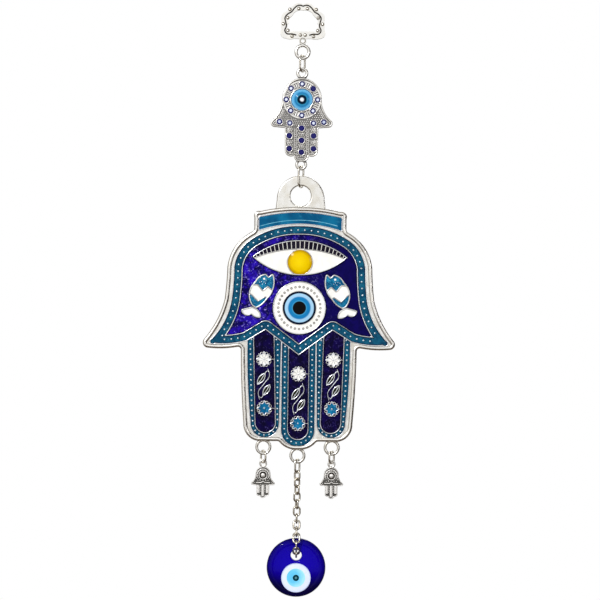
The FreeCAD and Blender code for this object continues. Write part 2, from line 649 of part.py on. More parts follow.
def chain():
    """The drop link and the cable chain, each link turned about a quarter turn from the last."""
    drop_pivot_z = cast_loop_z(LOOP_SEAT_SHARES[1]) - size("cast_loop_radius")
    top_z = drop_pivot_z + cast_seat
    nodes.append(link("drop_link", "drop_link_length", "drop_link_width", "link_wire",
                      top_z, size("link_turn")))
    pivot_z = top_z - (size("drop_link_length") - link_wire)
    top_z = pivot_z + (link_wire + size("chain_link_wire")) / 2 + size("chain_play")
    count = int(size("chain_link_count"))
    over = (size("link_turn") + 90 * count - 90) % 180
    twist = (180 - over if over > 90 else -over) / count
    for k in range(1, count + 1):
        turn = size("link_turn") + k * (90 + twist)
        nodes.append(link("chain_link_%02d" % k, "chain_link_length", "chain_link_width",
                          "chain_link_wire", top_z, turn))
        pivot_z = top_z - (size("chain_link_length") - size("chain_link_wire"))
        top_z = pivot_z + size("chain_link_wire") + size("chain_play")
    return pivot_z


# How far each link of a strand leans from plumb towards the front, from the chain to the glass.
STRAND_LEAN_DEGREES = (16.0, 28.0, 23.0, 0.0, -41.0)


def bead_loop(pivot_z):
    """The chain's last links. They part in the bend of the chain's end, run down before and behind
    the glass and meet in its hole. Returns the height of the hole's centre."""
    wire, play = size("chain_link_wire"), size("chain_play")
    bend = (size("chain_link_width") - wire) / 2
    reach = size("chain_link_length") - wire
    seat, hook = bend - wire - play, wire + play
    tip = Vector(0, -hook / 2, pivot_z + bend - math.sqrt(seat ** 2 - (hook / 2) ** 2))
    members, turn = [], 0
    names = ("chain_link_length", "chain_link_width", "chain_link_wire", 0)
    for k, lean in enumerate(STRAND_LEAN_DEGREES):
        down = Rotation(AXIS_X, -lean).multVec(-AXIS_Z)
        middle, end = tip + down * (reach / 2), tip + down * reach
        for strand, flip in (("front", 1), ("back", -1)):
            members.append(link("loop_%s_%d" % (strand, k), *names, turn=turn,
                                centre=Vector(0, flip * middle.y, middle.z), lean=-flip * lean))
        if k + 1 < len(STRAND_LEAN_DEGREES):
            next_down = Rotation(AXIS_X, -STRAND_LEAN_DEGREES[k + 1]).multVec(-AXIS_Z)
            tip = end - next_down * hook if turn == 0 else end - down * bend + next_down * seat
        turn = 90 - turn
    members.append(link("loop_middle", *names, turn=turn, centre=Vector(0, 0, end.z), lean=90))
    group = doc.addObject("Part::Compound", "bead_chain_loop")
    group.Label = "bead_chain_loop"
    group.Links = members
    nodes.append(group)
    return end.z - size("bead_hole_slack")


# The glass in profile, as shares of its radius and of its height: a nearly flat cap out to the
# first pair, then a shoulder through the second pair to the rim.
GLASS_CAP_SHARES = (0.78, 0.20)
GLASS_SHOULDER_SHARES = (0.954, 0.382)


def glass_half(height):
    """The profile of one side of the glass, from its pole to its rim, towards -Y."""
    radius = size("bead_radius")
    cap_end = Vector(GLASS_CAP_SHARES[0] * radius, (GLASS_CAP_SHARES[1] - 1) * height, 0)
    shoulder = Vector(GLASS_SHOULDER_SHARES[0] * radius, (GLASS_SHOULDER_SHARES[1] - 1) * height, 0)
    return [cap_arc(cap_end.x, GLASS_CAP_SHARES[1] * height, height),
            Part.Arc(cap_end, shoulder, Vector(radius, 0, 0)).toShape()]


def bead(hole_z):
    """The glass bead, with a hole through it and a white, sky blue and dark drop on its front."""
    radius, hole = size("bead_radius"), size("bead_hole_radius")
    centre_z = hole_z - size("bead_hole_above_centre")
    back = [edge.mirror(Vector(0, 0, 0), AXIS_Y) for edge in glass_half(size("bead_back_height"))]
    axis = Part.makeLine(Vector(0, -size("bead_front_height"), 0), Vector(0, size("bead_back_height"), 0))
    glass = spun(glass_half(size("bead_front_height")) + back + [axis])
    glass.translate(Vector(0, 0, centre_z))
    front, back_y = -size("bead_front_height"), size("bead_back_height")
    flare, mouth = size("bead_hole_round"), hole + size("bead_hole_round")
    corners = [(0, 2 * front), (mouth, 2 * front), (mouth, front), (hole, front + flare),
               (hole, back_y - flare), (mouth, back_y), (mouth, 2 * back_y), (0, 2 * back_y)]
    points = [Vector(x, y, 0) for x, y in corners]
    through = spun([Part.makeLine(a, b) for a, b in zip(points, points[1:] + points[:1])])
    through.translate(Vector(0, 0, hole_z))
    glass = glass.cut(through)
    drop_z = centre_z - size("bead_drop_below_centre")
    seat_y = -size("bead_front_height") / 2
    edge_height = size("bead_front_height") / 3
    pocket = slab(disc(0, drop_z, size("bead_white_radius")), seat_y, -radius)
    node_feature("bead_glass", glass.cut(pocket))
    dome_layers(("bead_white", "bead_sky", "bead_pupil"), 0, drop_z,
                (size("bead_white_radius"), size("bead_sky_radius"), size("bead_pupil_radius")),
                seat_y, edge_height, size("bead_drop_height"))


hanger()
nodes.append(link("upper_link", "upper_link_length", "upper_link_width", "link_wire",
                  upper_top_z, size("link_turn")))
connector()
nodes.append(link("middle_link", "middle_link_length", "middle_link_width", "link_wire",
                  middle_top_z, size("link_turn")))
hand()
charms()
bead(bead_loop(chain()))
doc.recompute()

for part in doc.Objects:
    if "Invalid" in part.State or "Error" in part.State:
        raise RuntimeError("%s did not rebuild: %s" % (part.Label, part.State))
os.makedirs("parts", exist_ok=True)
for part in nodes:
    if part.Shape.isNull() or not part.Shape.isValid():
        raise RuntimeError("%s has no valid shape" % part.Label)
    part.Shape.exportStep("parts/%s.step" % part.Label)
print("%d nodes, box %s" % (len(nodes), Part.makeCompound([part.Shape for part in nodes]).BoundBox))
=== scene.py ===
"""The looks of a hanging hamsa ornament: cast silver, enamel, glass and chain, dressed on the frame.

Every place is worked out from the frame's own nodes. Lengths in the dataclasses are millimetres, and
MM turns them into metres.
"""
from __future__ import annotations

import logging
import math
from dataclasses import dataclass, field
from enum import Enum
from typing import Iterable, Iterator, Sequence

import bpy
from bpy.types import Material, Node, NodeSocket, NodeTree, Object
from mathutils import Matrix, Vector

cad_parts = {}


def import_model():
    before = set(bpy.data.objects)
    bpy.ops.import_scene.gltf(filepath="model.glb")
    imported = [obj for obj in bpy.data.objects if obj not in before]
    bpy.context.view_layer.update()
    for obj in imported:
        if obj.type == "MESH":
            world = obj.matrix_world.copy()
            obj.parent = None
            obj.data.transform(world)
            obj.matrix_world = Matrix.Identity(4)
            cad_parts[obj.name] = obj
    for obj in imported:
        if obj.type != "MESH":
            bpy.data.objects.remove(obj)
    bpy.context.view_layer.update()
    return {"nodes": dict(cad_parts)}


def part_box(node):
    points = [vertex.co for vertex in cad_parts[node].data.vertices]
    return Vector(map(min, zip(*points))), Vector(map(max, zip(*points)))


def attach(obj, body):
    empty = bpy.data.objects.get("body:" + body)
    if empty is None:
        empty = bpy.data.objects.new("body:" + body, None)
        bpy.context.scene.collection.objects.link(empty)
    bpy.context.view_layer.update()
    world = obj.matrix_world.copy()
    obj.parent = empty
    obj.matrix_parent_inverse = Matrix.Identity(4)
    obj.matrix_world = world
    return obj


LOG = logging.getLogger("hamsa")
MM = 0.001
EIGHTHS = tuple(22.5 + 45 * k for k in range(8))
Colour = tuple[float, float, float]
Spot = tuple[float, float, float]
Flat = tuple[float, float]
Line = Sequence[Flat]


class Finger(Enum):
    """The three fingers of the big hand, by the side that the viewer sees them on."""

    LEFT = "left"
    MIDDLE = "middle"
    RIGHT = "right"


FIELDS = ["enamel_finger_field_" + finger.value for finger in Finger]
BORDERS = ["enamel_finger_border_" + finger.value for finger in Finger]


@dataclass(frozen=True)
class Gauge:
    """A wire's radius in millimetres, and its depth as a share of its width."""

    radius: float
    flatten: float = 1.0


@dataclass(frozen=True)
class Dome:
    """A granule's radius and how far it stands forward, in millimetres."""

    radius: float
    height: float


# Shapes in the flat


def sides(loop: Line) -> Iterator[tuple[Flat, Flat]]:
    """The sides of a closed outline, each as its two ends."""
    return zip(loop, [*loop[1:], loop[0]])


def flat_loops(obj: Object, level: float, slack: float = 0.004) -> list[list[Flat]]:
    """Finds the closed outlines of the faces of a mesh that lie in one plane square to Y.

    Args:
        obj: The mesh object, with its place in its mesh.
        level: The plane's Y in millimetres.
        slack: How far off the plane a corner may lie, in millimetres.

    Returns:
        The outlines as lists of (x, z) in millimetres, the longest first.
    """
    spots = [(round(v.co.x / MM, 3), v.co.y / MM, round(v.co.z / MM, 3)) for v in obj.data.vertices]
    edges: dict[tuple[Flat, Flat], None] = {}
    for face in obj.data.polygons:
        corners = [spots[i] for i in face.vertices]
        if all(abs(y - level) <= slack for _, y, _ in corners):
            ring = [(x, z) for x, _, z in corners]
            edges.update((side, None) for side in sides(ring) if side[0] != side[1])
    onward: dict[Flat, list[Flat]] = {}
    for start, end in edges:
        if (end, start) not in edges:
            onward.setdefault(start, []).append(end)
    loops = []
    while onward:
        here, loop = next(iter(onward)), []
        while here in onward:
            loop.append(here)
            after = onward[here].pop()
            if not onward[here]:
                del onward[here]
            here = after
        if len(loop) > 2:
            loops.append(loop)
    return sorted(loops, key=lambda loop: sum(math.dist(a, b) for a, b in sides(loop)), reverse=True)


def spaced(line: Line, pitch: float, closed: bool = True) -> list[Flat]:
    """Walks along a line and drops a point at each even step.

    Args:
        line: The corners of the line.
        pitch: The wanted step in millimetres, which is trimmed to fit.
        closed: Whether the line comes back to its start.

    Returns:
        The evenly spaced points.
    """
    ring = [*line, line[0]] if closed else list(line)
    runs = [math.dist(a, b) for a, b in zip(ring, ring[1:])]
    count = max(2, round(sum(runs) / pitch))
    step = sum(runs) / (count if closed else count - 1)
    points, target, walked = [], 0.0, 0.0
    for a, b, run in zip(ring, ring[1:], runs):
        while run > 0 and target <= walked + run + 1e-9 and len(points) < count:
            share = (target - walked) / run
            points.append((a[0] + (b[0] - a[0]) * share, a[1] + (b[1] - a[1]) * share))
            target += step
        walked += run
    return points


def moved(spot: Flat, way: Flat, reach: float) -> Flat:
    """The place that lies a reach from a point along a way."""
    return spot[0] + way[0] * reach, spot[1] + way[1] * reach


def outward(loop: Line, pitch: float) -> list[tuple[Flat, Flat]]:
    """Even points along an outline, each with the way that leads square from it, off its faces."""
    dense, found = spaced(loop, pitch), []
    for before, here, after in zip(dense[-1:] + dense[:-1], dense, dense[1:] + dense[:1]):
        across, up = after[0] - before[0], after[1] - before[1]
        size = math.hypot(across, up) or 1.0
        found.append((here, (up / size, -across / size)))
    return found


def broken(spots: Iterable[Flat | None]) -> list[list[Flat]]:
    """Breaks a line into runs where points are missing. The last run may be empty."""
    runs: list[list[Flat]] = [[]]
    for spot in spots:
        if spot:
            runs[-1].append(spot)
        elif runs[-1]:
            runs.append([])
    return runs


def mended(runs: list[list[Flat]], reach: float = 1.6) -> list[list[Flat]]:
    """Joins runs whose ends nearly meet, as at the corners that an offset trims."""
    chain = [list(run) for run in runs[:1]]
    for run in runs[1:]:
        if math.dist(chain[-1][-1], run[0]) < reach:
            chain[-1] += run
        else:
            chain.append(list(run))
    if len(chain) > 1 and math.dist(chain[-1][-1], chain[0][0]) < reach:
        chain[0] = chain.pop() + chain[0]
    if len(chain) == 1 and math.dist(chain[0][-1], chain[0][0]) < reach:
        chain[0].append(chain[0][0])
    return chain


def offset_runs(loop: Line, distance: float, trim: float = 0.93) -> list[tuple[list[Flat], bool]]:
    """Moves an outline off its faces.

    Args:
        loop: The outline, as flat_loops gives it.
        distance: How far it moves in millimetres, onto its faces where negative.
        trim: The share of the distance that a point must keep from the outline.

    Returns:
        The runs of moved points that are kept, each with whether it goes all the way round.
    """
    dense = outward(loop, 0.4)
    kept: list[Flat | None] = []
    for here, way in dense:
        spot = moved(here, way, distance)
        near = min(math.dist(spot, other) for other, _ in dense)
        kept.append(spot if near > abs(distance) * trim else None)
    if all(kept):
        return [(kept, True)]
    seam = kept.index(None)
    runs = broken(kept[seam:] + kept[:seam])
    return [(run, False) for run in mended([run for run in runs if run])]


def split_runs(runs: Iterable[Line], gap: float) -> list[list[Flat]]:
    """Breaks runs wherever two points in a row lie more than a gap apart."""
    parts: list[list[Flat]] = []
    for run in runs:
        parts.append([])
        for spot in run:
            if parts[-1] and math.dist(parts[-1][-1], spot) > gap:
                parts.append([])
            parts[-1].append(spot)
    return parts


def solids(obj: Object) -> list[tuple[float, float, float]]:
    """Finds the separate solids of a node.

    Args:
        obj: The node's object, whose mesh is loose triangles.

    Returns:
        Each solid as its middle's X and Z and half its width, in millimetres.
    """
    parent: dict[Spot, Spot] = {}

    def top(key: Spot) -> Spot:
        """The corner that stands for a corner's whole solid."""
        while parent[key] != key:
            parent[key] = parent[parent[key]]
            key = parent[key]
        return key

    for face in obj.data.polygons:
        keys = [tuple(round(c / MM, 2) for c in obj.data.vertices[i].co) for i in face.vertices]
        for key in keys:
            parent.setdefault(key, key)
        for key in keys[1:]:
            parent[top(key)] = top(keys[0])
    groups: dict[Spot, list[Spot]] = {}
    for key in parent:
        groups.setdefault(top(key), []).append(key)
    found = []
    for corners in groups.values():
        (left, _, low), (right, _, high) = map(min, zip(*corners)), map(max, zip(*corners))
        found.append(((left + right) / 2, (low + high) / 2, (right - left) / 2))
    return found


def inside(spot: Flat, loops: Iterable[Line]) -> bool:
    """Whether a point lies in the area that a set of outlines encloses, holes left out."""
    crossings = 0
    for a, b in (side for loop in loops for side in sides(loop)):
        if (a[1] > spot[1]) != (b[1] > spot[1]):
            crossings += a[0] + (spot[1] - a[1]) / (b[1] - a[1]) * (b[0] - a[0]) > spot[0]
    return crossings % 2 == 1


def around(centre: Flat, degrees: float, reach: float) -> Flat:
    """The place at a reach from a centre, by its angle clockwise from the top."""
    angle = math.radians(degrees)
    return centre[0] + reach * math.sin(angle), centre[1] + reach * math.cos(angle)


def arc(centre: Flat, radius: float, start: float, sweep: float, steps: int) -> list[Flat]:
    """Points along a round arc, its angles in degrees clockwise from the top."""
    return [around(centre, start + sweep * k / steps, radius) for k in range(steps + 1)]


def circle(centre: Flat, radius: float, steps: int) -> list[Flat]:
    """The corners of a closed ring."""
    return arc(centre, radius, 0, 360, steps)[:-1]


def smooth_path(points: Line, steps: int = 6) -> list[Flat]:
    """A smooth line through points, by Catmull and Rom's rule."""
    ends = [points[0], *points, points[-1]]
    line = []
    for corners in zip(ends, ends[1:], ends[2:], ends[3:]):
        for t in (k / steps for k in range(steps)):
            line.append(tuple(0.5 * ((2 * b) + (c - a) * t + (2 * a - 5 * b + 4 * c - d) * t * t
                                     + (3 * b - a - 3 * c + d) * t ** 3) for a, b, c, d in zip(*corners)))
    return line + [tuple(points[-1])]


def mirror(line: Line) -> list[Flat]:
    """The same line on the other side of the hanging axis."""
    return [(-x, z) for x, z in line]


# Modelling helpers


def isolate(obj: Object) -> None:
    """Selects one object alone and makes it active."""
    bpy.ops.object.select_all(action="DESELECT")
    obj.select_set(True)
    bpy.context.view_layer.objects.active = obj


def in_scene(name: str, data: bpy.types.ID) -> Object:
    """Makes an object of some data and links it into the scene."""
    obj = bpy.data.objects.new(name, data)
    bpy.context.scene.collection.objects.link(obj)
    return obj


def joined(parts: Sequence[Object], name: str, smooth: float = 50.0) -> Object:
    """Joins mesh objects into one named piece, shaded smooth where it turns by less than an angle."""
    isolate(parts[0])
    for part in parts:
        part.select_set(True)
    if len(parts) > 1:
        bpy.ops.object.join()
    piece = bpy.context.view_layer.objects.active
    piece.name = piece.data.name = name
    isolate(piece)
    bpy.ops.object.shade_smooth_by_angle(angle=math.radians(smooth))
    return piece


def place(obj: Object) -> Object:
    """Puts an object's place, turn and size into its mesh."""
    isolate(obj)
    bpy.ops.object.transform_apply(location=True, rotation=True, scale=True)
    return obj


def granule(dome: Dome) -> Object:
    """Models one low round granule, its flat axis along Y and its middle at the origin."""
    bpy.ops.mesh.primitive_uv_sphere_add(segments=8, ring_count=6, radius=dome.radius * MM,
                                         rotation=(math.pi / 2, 0, 0))
    grain = place(bpy.context.object)
    grain.scale = (1.0, dome.height / dome.radius, 1.0)
    return place(grain)


def cut_stone(radius: float, table: float, depth: float) -> Object:
    """Models the eight-sided crown of a cut stone, its flat table to the front."""
    bpy.ops.mesh.primitive_cone_add(vertices=8, radius1=radius * MM, radius2=table * MM, depth=depth * MM,
                                    rotation=(math.pi / 2, math.pi / 8, 0))
    return place(bpy.context.object)


def strewn(template: Object, spots: Line, level: float, name: str, smooth: float = 50.0) -> Object:
    """Copies a template to each spot, each copy with its own mesh, and joins them.

    Args:
        template: The modelled shape, with its middle at the origin. It is used up.
        spots: The places as (x, z) in millimetres.
        level: The Y of every copy, in millimetres.
        name: The name of the joined piece.
        smooth: The turn in degrees below which faces are shaded smooth.

    Returns:
        The joined piece.
    """
    copies = [in_scene(name, template.data.copy()) for _ in spots]
    for copy, (x, z) in zip(copies, spots):
        copy.data.transform(Matrix.Translation((x * MM, level * MM, z * MM)))
    bpy.data.objects.remove(template)
    return joined(copies, name, smooth)


def wire(lines: Sequence[Line], gauge: Gauge, level: float, name: str, closed: bool = False) -> Object:
    """Lays round wire along lines in the flat and turns it into one mesh.

    Args:
        lines: The paths as lists of (x, z) in millimetres.
        gauge: The wire's gauge.
        level: The Y of the wire's middle, in millimetres.
        name: The piece's name.
        closed: Whether each path comes back to its start.

    Returns:
        The mesh piece.
    """
    curve = bpy.data.curves.new(name, "CURVE")
    curve.dimensions = "3D"
    curve.bevel_depth = gauge.radius * MM
    curve.bevel_resolution = 2
    curve.use_fill_caps = True
    for line in lines:
        spline = curve.splines.new("POLY")
        spline.points.add(len(line) - 1)
        for point, (x, z) in zip(spline.points, line):
            point.co = (x * MM, 0.0, z * MM, 1.0)
        spline.use_cyclic_u = closed
    isolate(in_scene(name, curve))
    bpy.ops.object.convert(target="MESH")
    piece = bpy.context.view_layer.objects.active
    piece.data.transform(Matrix.Translation((0, level * MM, 0)) @ Matrix.Diagonal((1, gauge.flatten, 1, 1)))
    return joined([piece], name)


# Shader graphs


class Graph:
    """A node tree with short calls to add nodes and join them."""

    def __init__(self, tree: NodeTree) -> None:
        """Takes the tree that the nodes go into."""
        self.tree = tree

    def feed(self, node: Node, inputs: dict) -> None:
        """Sets a node's inputs by name or index, or joins them where the value is an output."""
        for key, value in inputs.items():
            socket = node.inputs[key]
            if isinstance(value, NodeSocket):
                self.tree.links.new(value, socket)
            else:
                socket.default_value = (*value, 1.0) if socket.type == "RGBA" else value

    def add(self, kind: str, inputs: dict | None = None, **settings: object) -> Node:
        """Adds a node, sets its settings, and sets or joins its inputs.

        Args:
            kind: The node's type without its ShaderNode prefix.
            inputs: Input name or index to a value, or to an output to join.
            settings: Attributes of the node.

        Returns:
            The node.
        """
        node = self.tree.nodes.new(kind if kind.startswith("Node") else "ShaderNode" + kind)
        for name, value in settings.items():
            setattr(node, name, value)
        self.feed(node, inputs or {})
        return node

    def where(self) -> NodeSocket:
        """Where a point lies on its piece."""
        return self.add("TexCoord").outputs["Object"]

    def at(self, letter: str) -> NodeSocket:
        """Where a point lies on its piece along X, Y or Z, in millimetres."""
        return self.maths("DIVIDE", self.add("SeparateXYZ", {0: self.where()}).outputs[letter], MM)

    def noise(self, scale: object, detail: float, distortion: float = 0.0) -> NodeSocket:
        """An uneven value from 0 to 1 over the piece."""
        return self.add("TexNoise", {"Vector": self.where(), "Scale": scale, "Detail": detail,
                                     "Distortion": distortion}).outputs[0]

    def mix(self, share: object, first: object, second: object) -> NodeSocket:
        """Mixes two colours by a share and gives the mixed colour."""
        return self.add("Mix", {0: share, 6: first, 7: second}, data_type="RGBA").outputs[2]

    def maths(self, operation: str, *values: object) -> NodeSocket:
        """Works out one sum and gives its value."""
        return self.add("Math", dict(enumerate(values)), operation=operation).outputs[0]

    def times(self, *values: object) -> NodeSocket:
        """Multiplies values one after another."""
        product = values[0]
        for value in values[1:]:
            product = self.maths("MULTIPLY", product, value)
        return product

    def span(self, value: object, low: float, high: float, to_low: float = 0.0,
             to_high: float = 1.0) -> NodeSocket:
        """Maps a value from one range to another, held at the ends."""
        inputs = {0: value, 1: low, 2: high, 3: to_low, 4: to_high}
        return self.add("MapRange", inputs, interpolation_type="SMOOTHSTEP").outputs[0]

    def bump(self, strength: float, distance: float, height: NodeSocket) -> NodeSocket:
        """The normal that a height gives."""
        return self.add("Bump", {"Strength": strength, "Distance": distance, "Height": height}).outputs[0]


def new_group(name: str, given: dict[str, float], results: Sequence[str]) -> tuple[Graph, object, Node]:
    """Starts a node group of plain numbers.

    Args:
        name: The group's name.
        given: What the group takes, with each value where nothing is set.
        results: What the group gives.

    Returns:
        The group's graph, the sockets that hold what it takes, and the node that its results go to.
    """
    graph = Graph(bpy.data.node_groups.new(name, "ShaderNodeTree"))
    new_socket = graph.tree.interface.new_socket
    for key, value in given.items():
        new_socket(name=key, in_out="INPUT", socket_type="NodeSocketFloat").default_value = value
    for key in results:
        new_socket(name=key, in_out="OUTPUT", socket_type="NodeSocketFloat")
    return graph, graph.add("NodeGroupInput").outputs, graph.add("NodeGroupOutput")


def casting_group() -> NodeTree:
    """The uneven skin of a casting: slow ripples, and fine grain over them."""
    graph, given, leave = new_group("casting_skin", {"Ripple": 900.0, "Grain": 6000.0}, ("Height", "Wear"))
    ripple, grain = graph.noise(given["Ripple"], 2.0), graph.noise(given["Grain"], 3.0)
    height = graph.maths("ADD", graph.times(ripple, 0.8), graph.times(grain, 0.2))
    graph.feed(leave, {"Height": height, "Wear": graph.span(ripple, 0.25, 0.8)})
    return graph.tree


def hollow_group() -> NodeTree:
    """How deep a point of the front half lies behind a level, and so how much patina it keeps."""
    graph, given, leave = new_group("patina_in_hollows", {"Front": -1.0, "Depth": 0.2}, ("Mask",))
    level = graph.at("Y")
    behind = graph.maths("DIVIDE", graph.maths("SUBTRACT", level, given["Front"]), given["Depth"])
    blotch = graph.times(graph.maths("SUBTRACT", graph.noise(1400.0, 4.0), 0.5), 0.9)
    deep = graph.span(graph.maths("ADD", behind, blotch), 0.1, 0.9)
    graph.feed(leave, {"Mask": graph.times(deep, graph.maths("LESS_THAN", level, 0.25))})
    return graph.tree


def foil_group() -> NodeTree:
    """Enamel over hammered metal: soft streaks, and bright flecks where the metal shines through; on the palm
    they are painted highlights as well.
    """
    graph, given, leave = new_group("foil_and_painted_sheen", {"Scale": 260.0}, ("Streak", "Fleck", "Height"))
    streak = graph.noise(given["Scale"], 3.0, 0.8)
    fleck = graph.noise(graph.times(given["Scale"], 2.6), 4.0, 1.5)
    graph.feed(leave, {"Streak": graph.span(streak, 0.35, 0.7), "Fleck": graph.span(fleck, 0.56, 0.72),
                       "Height": streak})
    return graph.tree


def axis_group() -> NodeTree:
    """The distance from an axis along Y, with a slow wobble, for banded glass."""
    graph, given, leave = new_group("distance_from_axis", {"X": 0.0, "Z": 0.0, "Wobble": 0.2}, ("Distance",))
    across, up = (graph.maths("SUBTRACT", graph.at(letter), given[letter]) for letter in "XZ")
    reach = graph.maths("SQRT", graph.maths("ADD", graph.times(across, across), graph.times(up, up)))
    wobble = graph.times(graph.maths("SUBTRACT", graph.noise(420.0, 2.0), 0.5), given["Wobble"])
    graph.feed(leave, {"Distance": graph.maths("ADD", reach, wobble)})
    return graph.tree


@dataclass
class Groups:
    """The shader node groups that several finishes share."""

    casting: NodeTree = field(default_factory=casting_group)
    hollow: NodeTree = field(default_factory=hollow_group)
    foil: NodeTree = field(default_factory=foil_group)
    axis: NodeTree = field(default_factory=axis_group)

    def put(self, graph: Graph, tree: NodeTree, **values: float) -> Sequence[NodeSocket]:
        """Places a group in a material with its own values, and gives its results."""
        return graph.add("Group", values, node_tree=tree).outputs


# Finishes


def new_material(name: str) -> tuple[Material, Graph, Node]:
    """Starts a material and gives it with its graph and its shader."""
    material = bpy.data.materials.new(name)
    material.use_nodes = True
    return material, Graph(material.node_tree), material.node_tree.nodes["Principled BSDF"]


def matt(name: str, colour: Colour, rough: float) -> Material:
    """A plain matt material, for the stage alone."""
    material, graph, shader = new_material(name)
    graph.feed(shader, {"Base Color": colour, "Roughness": rough})
    return material


@dataclass(frozen=True)
class Silver:
    """White metal, cast or drawn, with patina where it lies behind a front level."""

    name: str
    tone: Colour = (0.86, 0.85, 0.82)
    worn: Colour = (0.74, 0.72, 0.67)
    patina: Colour = (0.13, 0.11, 0.09)
    patina_share: float = 0.0
    patina_zone: Flat = (-1000.0, 1000.0)
    front: float = -1.0
    depth: float = 0.2
    rough: float = 0.2
    bump: float = 0.12
    ripple: float = 900.0

    def build(self, groups: Groups) -> Material:
        """Makes the material."""
        material, graph, shader = new_material(self.name)
        skin = groups.put(graph, groups.casting, Ripple=self.ripple)
        colour = graph.mix(skin["Wear"], self.tone, self.worn)
        rough = graph.span(skin["Wear"], 0.0, 1.0, self.rough, self.rough * 1.8)
        if self.patina_share > 0:
            hollow = groups.put(graph, groups.hollow, Front=self.front, Depth=self.depth)
            up, (low, high) = graph.at("Z"), self.patina_zone
            zone = graph.times(graph.maths("GREATER_THAN", up, low), graph.maths("LESS_THAN", up, high))
            mask = graph.times(hollow["Mask"], zone, self.patina_share)
            colour = graph.mix(mask, colour, self.patina)
            rough = graph.maths("ADD", rough, graph.times(mask, 0.3))
        graph.feed(shader, {"Metallic": 1.0, "Base Color": colour, "Roughness": rough,
                            "Normal": graph.bump(self.bump, 0.0002, skin["Height"])})
        return material


@dataclass(frozen=True)
class Enamel:
    """Glossy enamel that pools in a cell, with streaks and flecks of the metal beneath it, and where asked,
    painted light that keeps the flecks and pale streaks to the left side.
    """

    name: str
    deep: Colour
    pale: Colour
    fleck: Colour = (0.6, 0.7, 0.9)
    fleck_share: float = 0.0
    painted_light_reach: float = 0.0
    scale: float = 260.0
    rough: float = 0.12

    def build(self, groups: Groups) -> Material:
        """Makes the material."""
        material, graph, shader = new_material(self.name)
        foil = groups.put(graph, groups.foil, Scale=self.scale)
        streak, fleck = foil["Streak"], graph.times(foil["Fleck"], self.fleck_share)
        # Painted light: flecks and pale streaks fade out towards the right, as if the light fell from the
        # left, so the right side stays deep as painted shade.
        if self.painted_light_reach > 0:
            left = graph.span(graph.at("X"), -self.painted_light_reach, self.painted_light_reach, 1.0, 0.0)
            fleck = graph.times(fleck, left)
            streak = graph.times(streak, graph.span(left, 0.0, 1.0, 0.08, 1.0))
        colour = graph.mix(fleck, graph.mix(streak, self.deep, self.pale), self.fleck)
        graph.feed(shader, {"Base Color": colour, "Roughness": self.rough, "Specular IOR Level": 0.05,
                            "Normal": graph.bump(0.06, 0.0003, foil["Height"])})
        return material


@dataclass(frozen=True)
class BandedGlass:
    """Polished opaque glass whose colour changes with the distance from its own axis, and that may be
    darkened towards the bottom as painted shade.
    """

    name: str
    centre: Flat
    stops: tuple[tuple[float, Colour], ...]
    wobble: float = 0.15
    shade: Colour | None = None
    shade_span: Flat = (0.0, 1.0)
    rough: float = 0.04
    gloss: float = 0.05

    def build(self, groups: Groups) -> Material:
        """Makes the material."""
        material, graph, shader = new_material(self.name)
        axis = groups.put(graph, groups.axis, X=self.centre[0], Z=self.centre[1], Wobble=self.wobble)
        reach = self.stops[-1][0]
        ramp = graph.add("ValToRGB", {0: graph.maths("DIVIDE", axis["Distance"], reach)})
        bands = ramp.color_ramp.elements
        while len(bands) < len(self.stops):
            bands.new(0.5)
        for band, (radius, _) in zip(bands, self.stops):
            band.position = radius / reach
        # The bands sort themselves while they move, so their colours come last.
        for band, (_, tone) in zip(bands, self.stops):
            band.color = (*tone, 1.0)
        colour = ramp.outputs[0]
        # Painted shade: the colour darkens from the top of shade_span down to its bottom.
        if self.shade:
            colour = graph.mix(graph.span(graph.at("Z"), *self.shade_span, 1.0, 0.0), colour, self.shade)
        skin = groups.put(graph, groups.casting, Ripple=300.0)
        graph.feed(shader, {"Base Color": colour, "Roughness": self.rough, "Specular IOR Level": self.gloss,
                            "Normal": graph.bump(0.03, 0.0003, skin["Height"])})
        return material


Finish = Silver | Enamel | BandedGlass
BRIGHT = Silver("bright_cast_silver", bump=0.25, ripple=260.0)
PLATE = Silver("hand_plate_silver", (0.88, 0.87, 0.84), (0.68, 0.65, 0.58), bump=0.3, ripple=240.0)
RIM = Silver("polished_rim_silver", (0.88, 0.87, 0.84), (0.80, 0.77, 0.71), ripple=200.0)
CLOISON = Silver("cell_wall_silver", (0.80, 0.83, 0.88), (0.64, 0.66, 0.70), rough=0.22, bump=0.0)
DRAWN = Silver("drawn_silver_wire", (0.80, 0.78, 0.73), (0.60, 0.55, 0.46), rough=0.16, bump=0.05)
CHAIN = Silver("chain_silver", (0.66, 0.62, 0.54), (0.42, 0.38, 0.31), bump=0.06)
GRAIN = Silver("granule_silver", (0.88, 0.95, 0.98), (0.80, 0.89, 0.94), rough=0.3, bump=0.0)
# Darker silver as painted shade on the walls round the fish and the eye's white.
SHADED_MOTIF_WALL = Silver("motif_wall_painted_shade_silver", (0.58, 0.58, 0.58), (0.40, 0.39, 0.37), rough=0.25)
PETAL_WALL = Silver("petal_wall_silver", (0.34, 0.33, 0.36), (0.22, 0.21, 0.22), rough=0.28)
PALE_MOTIF = Silver("pale_motif_silver", (0.88, 0.88, 0.85), rough=0.25, bump=0.0)
# Near-black: the oxidised grooves of the connector and the charms' moats, and painted shade along the
# hanger's groove.
OXIDE_AND_SHADE = Silver("oxidised_ground", (0.03, 0.027, 0.023), (0.07, 0.06, 0.05), rough=0.45)
